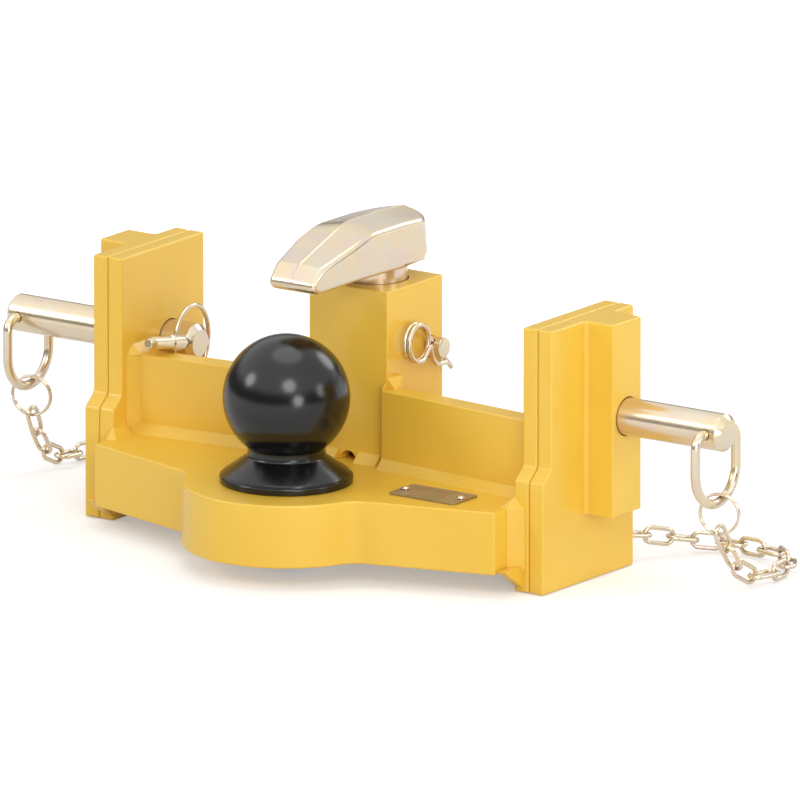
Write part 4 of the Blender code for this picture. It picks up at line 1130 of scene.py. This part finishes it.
# each lamp: name, place in metres, size, power
lampAim = Vector((0, 0, 0.09))
lamps = (
    ("leftLamp", (-1.35, -1.33, 1.10), 0.7, 6.5),
    ("frontLamp", (1.85, -1.25, 0.35), 0.7, 8.7),
    ("rightLamp", (1.25, -1.45, 1.35), 0.9, 11.5),
    ("sideLamp", (2.10, 0.50, 0.70), 0.7, 4.5),
    ("backLamp", (0.55, 1.80, 1.25), 0.9, 6.0),
    ("lowBackLamp", (0.95, 1.70, 0.30), 1.1, 2.2),
    ("topLamp", (-0.1, 0.2, 2.3), 1.6, 9.0),
)
view = {"round": math.radians(35.4), "up": math.radians(14.0), "across": 0.5, "aim": (58.2, 40.7, 106.6),
        "lens": 1600.0, "sensor": 36.0, "near": 0.1, "far": 200.0}


def makeFloor():
    deselect()
    bpy.ops.mesh.primitive_plane_add(size=floorLook["size"], location=(0, 0, -mm(floorLook["drop"])))
    floor = bpy.context.object
    floor.name = "studioFloor"
    material = bpy.data.materials.new("paleFloor")
    material.use_nodes = True
    tree = material.node_tree
    shader = tree.nodes["Principled BSDF"]
    setInputs(shader, {"Base Color": floorLook["colour"], "Roughness": floorLook["rough"],
                       "Specular IOR Level": 0.0, "Emission Color": white})
    # white to the camera; near the part the floor keeps its shadow
    place = addNode(tree, "ShaderNodeTexCoord").outputs["Object"]
    away = addNode(tree, "ShaderNodeVectorMath", operation="LENGTH")
    tree.links.new(place, away.inputs[0])
    level = ranged(tree, away.outputs["Value"], *floorLook["fade"], floorLook["glow"], 1.0)
    rays = addNode(tree, "ShaderNodeLightPath").outputs
    glow = worked(tree, "MULTIPLY", level, rays["Is Camera Ray"])
    # in reflections it is darker close to the part
    split = addNode(tree, "ShaderNodeSeparateXYZ")
    tree.links.new(place, split.inputs["Vector"])
    near = floorLook["nearShine"]
    behind = ranged(tree, split.outputs["Y"], *floorLook["behind"], near, floorLook["behindShine"])
    before = ranged(tree, split.outputs["Y"], *floorLook["before"], near, floorLook["beforeShine"])
    shine = worked(tree, "MAXIMUM", behind, before)
    light = worked(tree, "MULTIPLY_ADD", rays["Is Glossy Ray"], shine, glow)
    tree.links.new(light, shader.inputs["Emission Strength"])
    floor.data.materials.append(material)


def makeWorld():
    world = bpy.data.worlds.new("studioWorld")
    bpy.context.scene.world = world
    world.use_nodes = True
    tree = world.node_tree
    soft = tree.nodes["Background"]
    setInputs(soft, {"Color": white, "Strength": skyLook["strength"]})
    seen = addNode(tree, "ShaderNodeBackground")
    split = addNode(tree, "ShaderNodeSeparateXYZ")
    tree.links.new(addNode(tree, "ShaderNodeTexCoord").outputs["Generated"], split.inputs["Vector"])
    back, up = split.outputs["Y"], split.outputs["Z"]
    ramp = addNode(tree, "ShaderNodeValToRGB")
    dark, pale = ramp.color_ramp.elements
    dark.position = skyLook["darkTo"]
    dark.color = skyLook["dark"]
    pale.position = skyLook["whiteFrom"]
    pale.color = white
    tree.links.new(ranged(tree, up, -1.0, 1.0, 0.0, 1.0), ramp.inputs["Fac"])
    # pale horizon behind the part
    low = worked(tree, "MULTIPLY", ranged(tree, back, *skyLook["horizonBack"], 0.0, 1.0),
                 ranged(tree, up, *skyLook["horizonHeight"], 0.0, 1.0))
    sky = mixed(tree, low, ramp.outputs["Color"], skyLook["horizon"])
    rays = addNode(tree, "ShaderNodeLightPath").outputs
    tree.links.new(mixed(tree, rays["Is Camera Ray"], sky, white), seen.inputs["Color"])
    # reflections are brighter from the front than from behind
    shine = ranged(tree, back, *skyLook["shineFrom"], skyLook["frontShine"], skyLook["backShine"])
    tree.links.new(shine, seen.inputs["Strength"])
    direct = worked(tree, "MAXIMUM", rays["Is Camera Ray"], rays["Is Glossy Ray"])
    both = addNode(tree, "ShaderNodeMixShader")
    tree.links.new(worked(tree, "MAXIMUM", direct, rays["Is Transmission Ray"]), both.inputs["Fac"])
    tree.links.new(soft.outputs["Background"], both.inputs[1])
    tree.links.new(seen.outputs["Background"], both.inputs[2])
    tree.links.new(both.outputs["Shader"], tree.nodes["World Output"].inputs["Surface"])


def hold(name, thing, place, towards):
    # a lamp or camera, set at a place and turned towards a direction
    holder = bpy.data.objects.new(name, thing)
    holder.location = place
    holder.rotation_euler = towards.to_track_quat("-Z", "Y").to_euler()
    bpy.context.scene.collection.objects.link(holder)
    return holder


def makeLamps():
    for name, place, size, power in lamps:
        lamp = bpy.data.lights.new(name, "AREA")
        lamp.shape = "DISK"
        lamp.size = size
        lamp.energy = power
        hold(name, lamp, place, lampAim - Vector(place))


def makeCamera():
    camera = bpy.data.cameras.new("photoCamera")
    camera.lens = view["lens"]
    camera.sensor_width = view["sensor"]
    camera.clip_start = view["near"]
    camera.clip_end = view["far"]
    flat = math.cos(view["up"])
    back = Vector((math.sin(view["round"]) * flat, -math.cos(view["round"]) * flat, math.sin(view["up"])))
    distance = view["across"] * view["lens"] / view["sensor"]
    holder = hold("photoCamera", camera, at(*view["aim"]) + back * distance, -back)
    bpy.context.scene.camera = holder


makeFloor()
makeWorld()
makeLamps()
makeCamera()
bpy.context.scene.view_settings.view_transform = "Standard"
print("studio set")

bpy.context.view_layer.update()
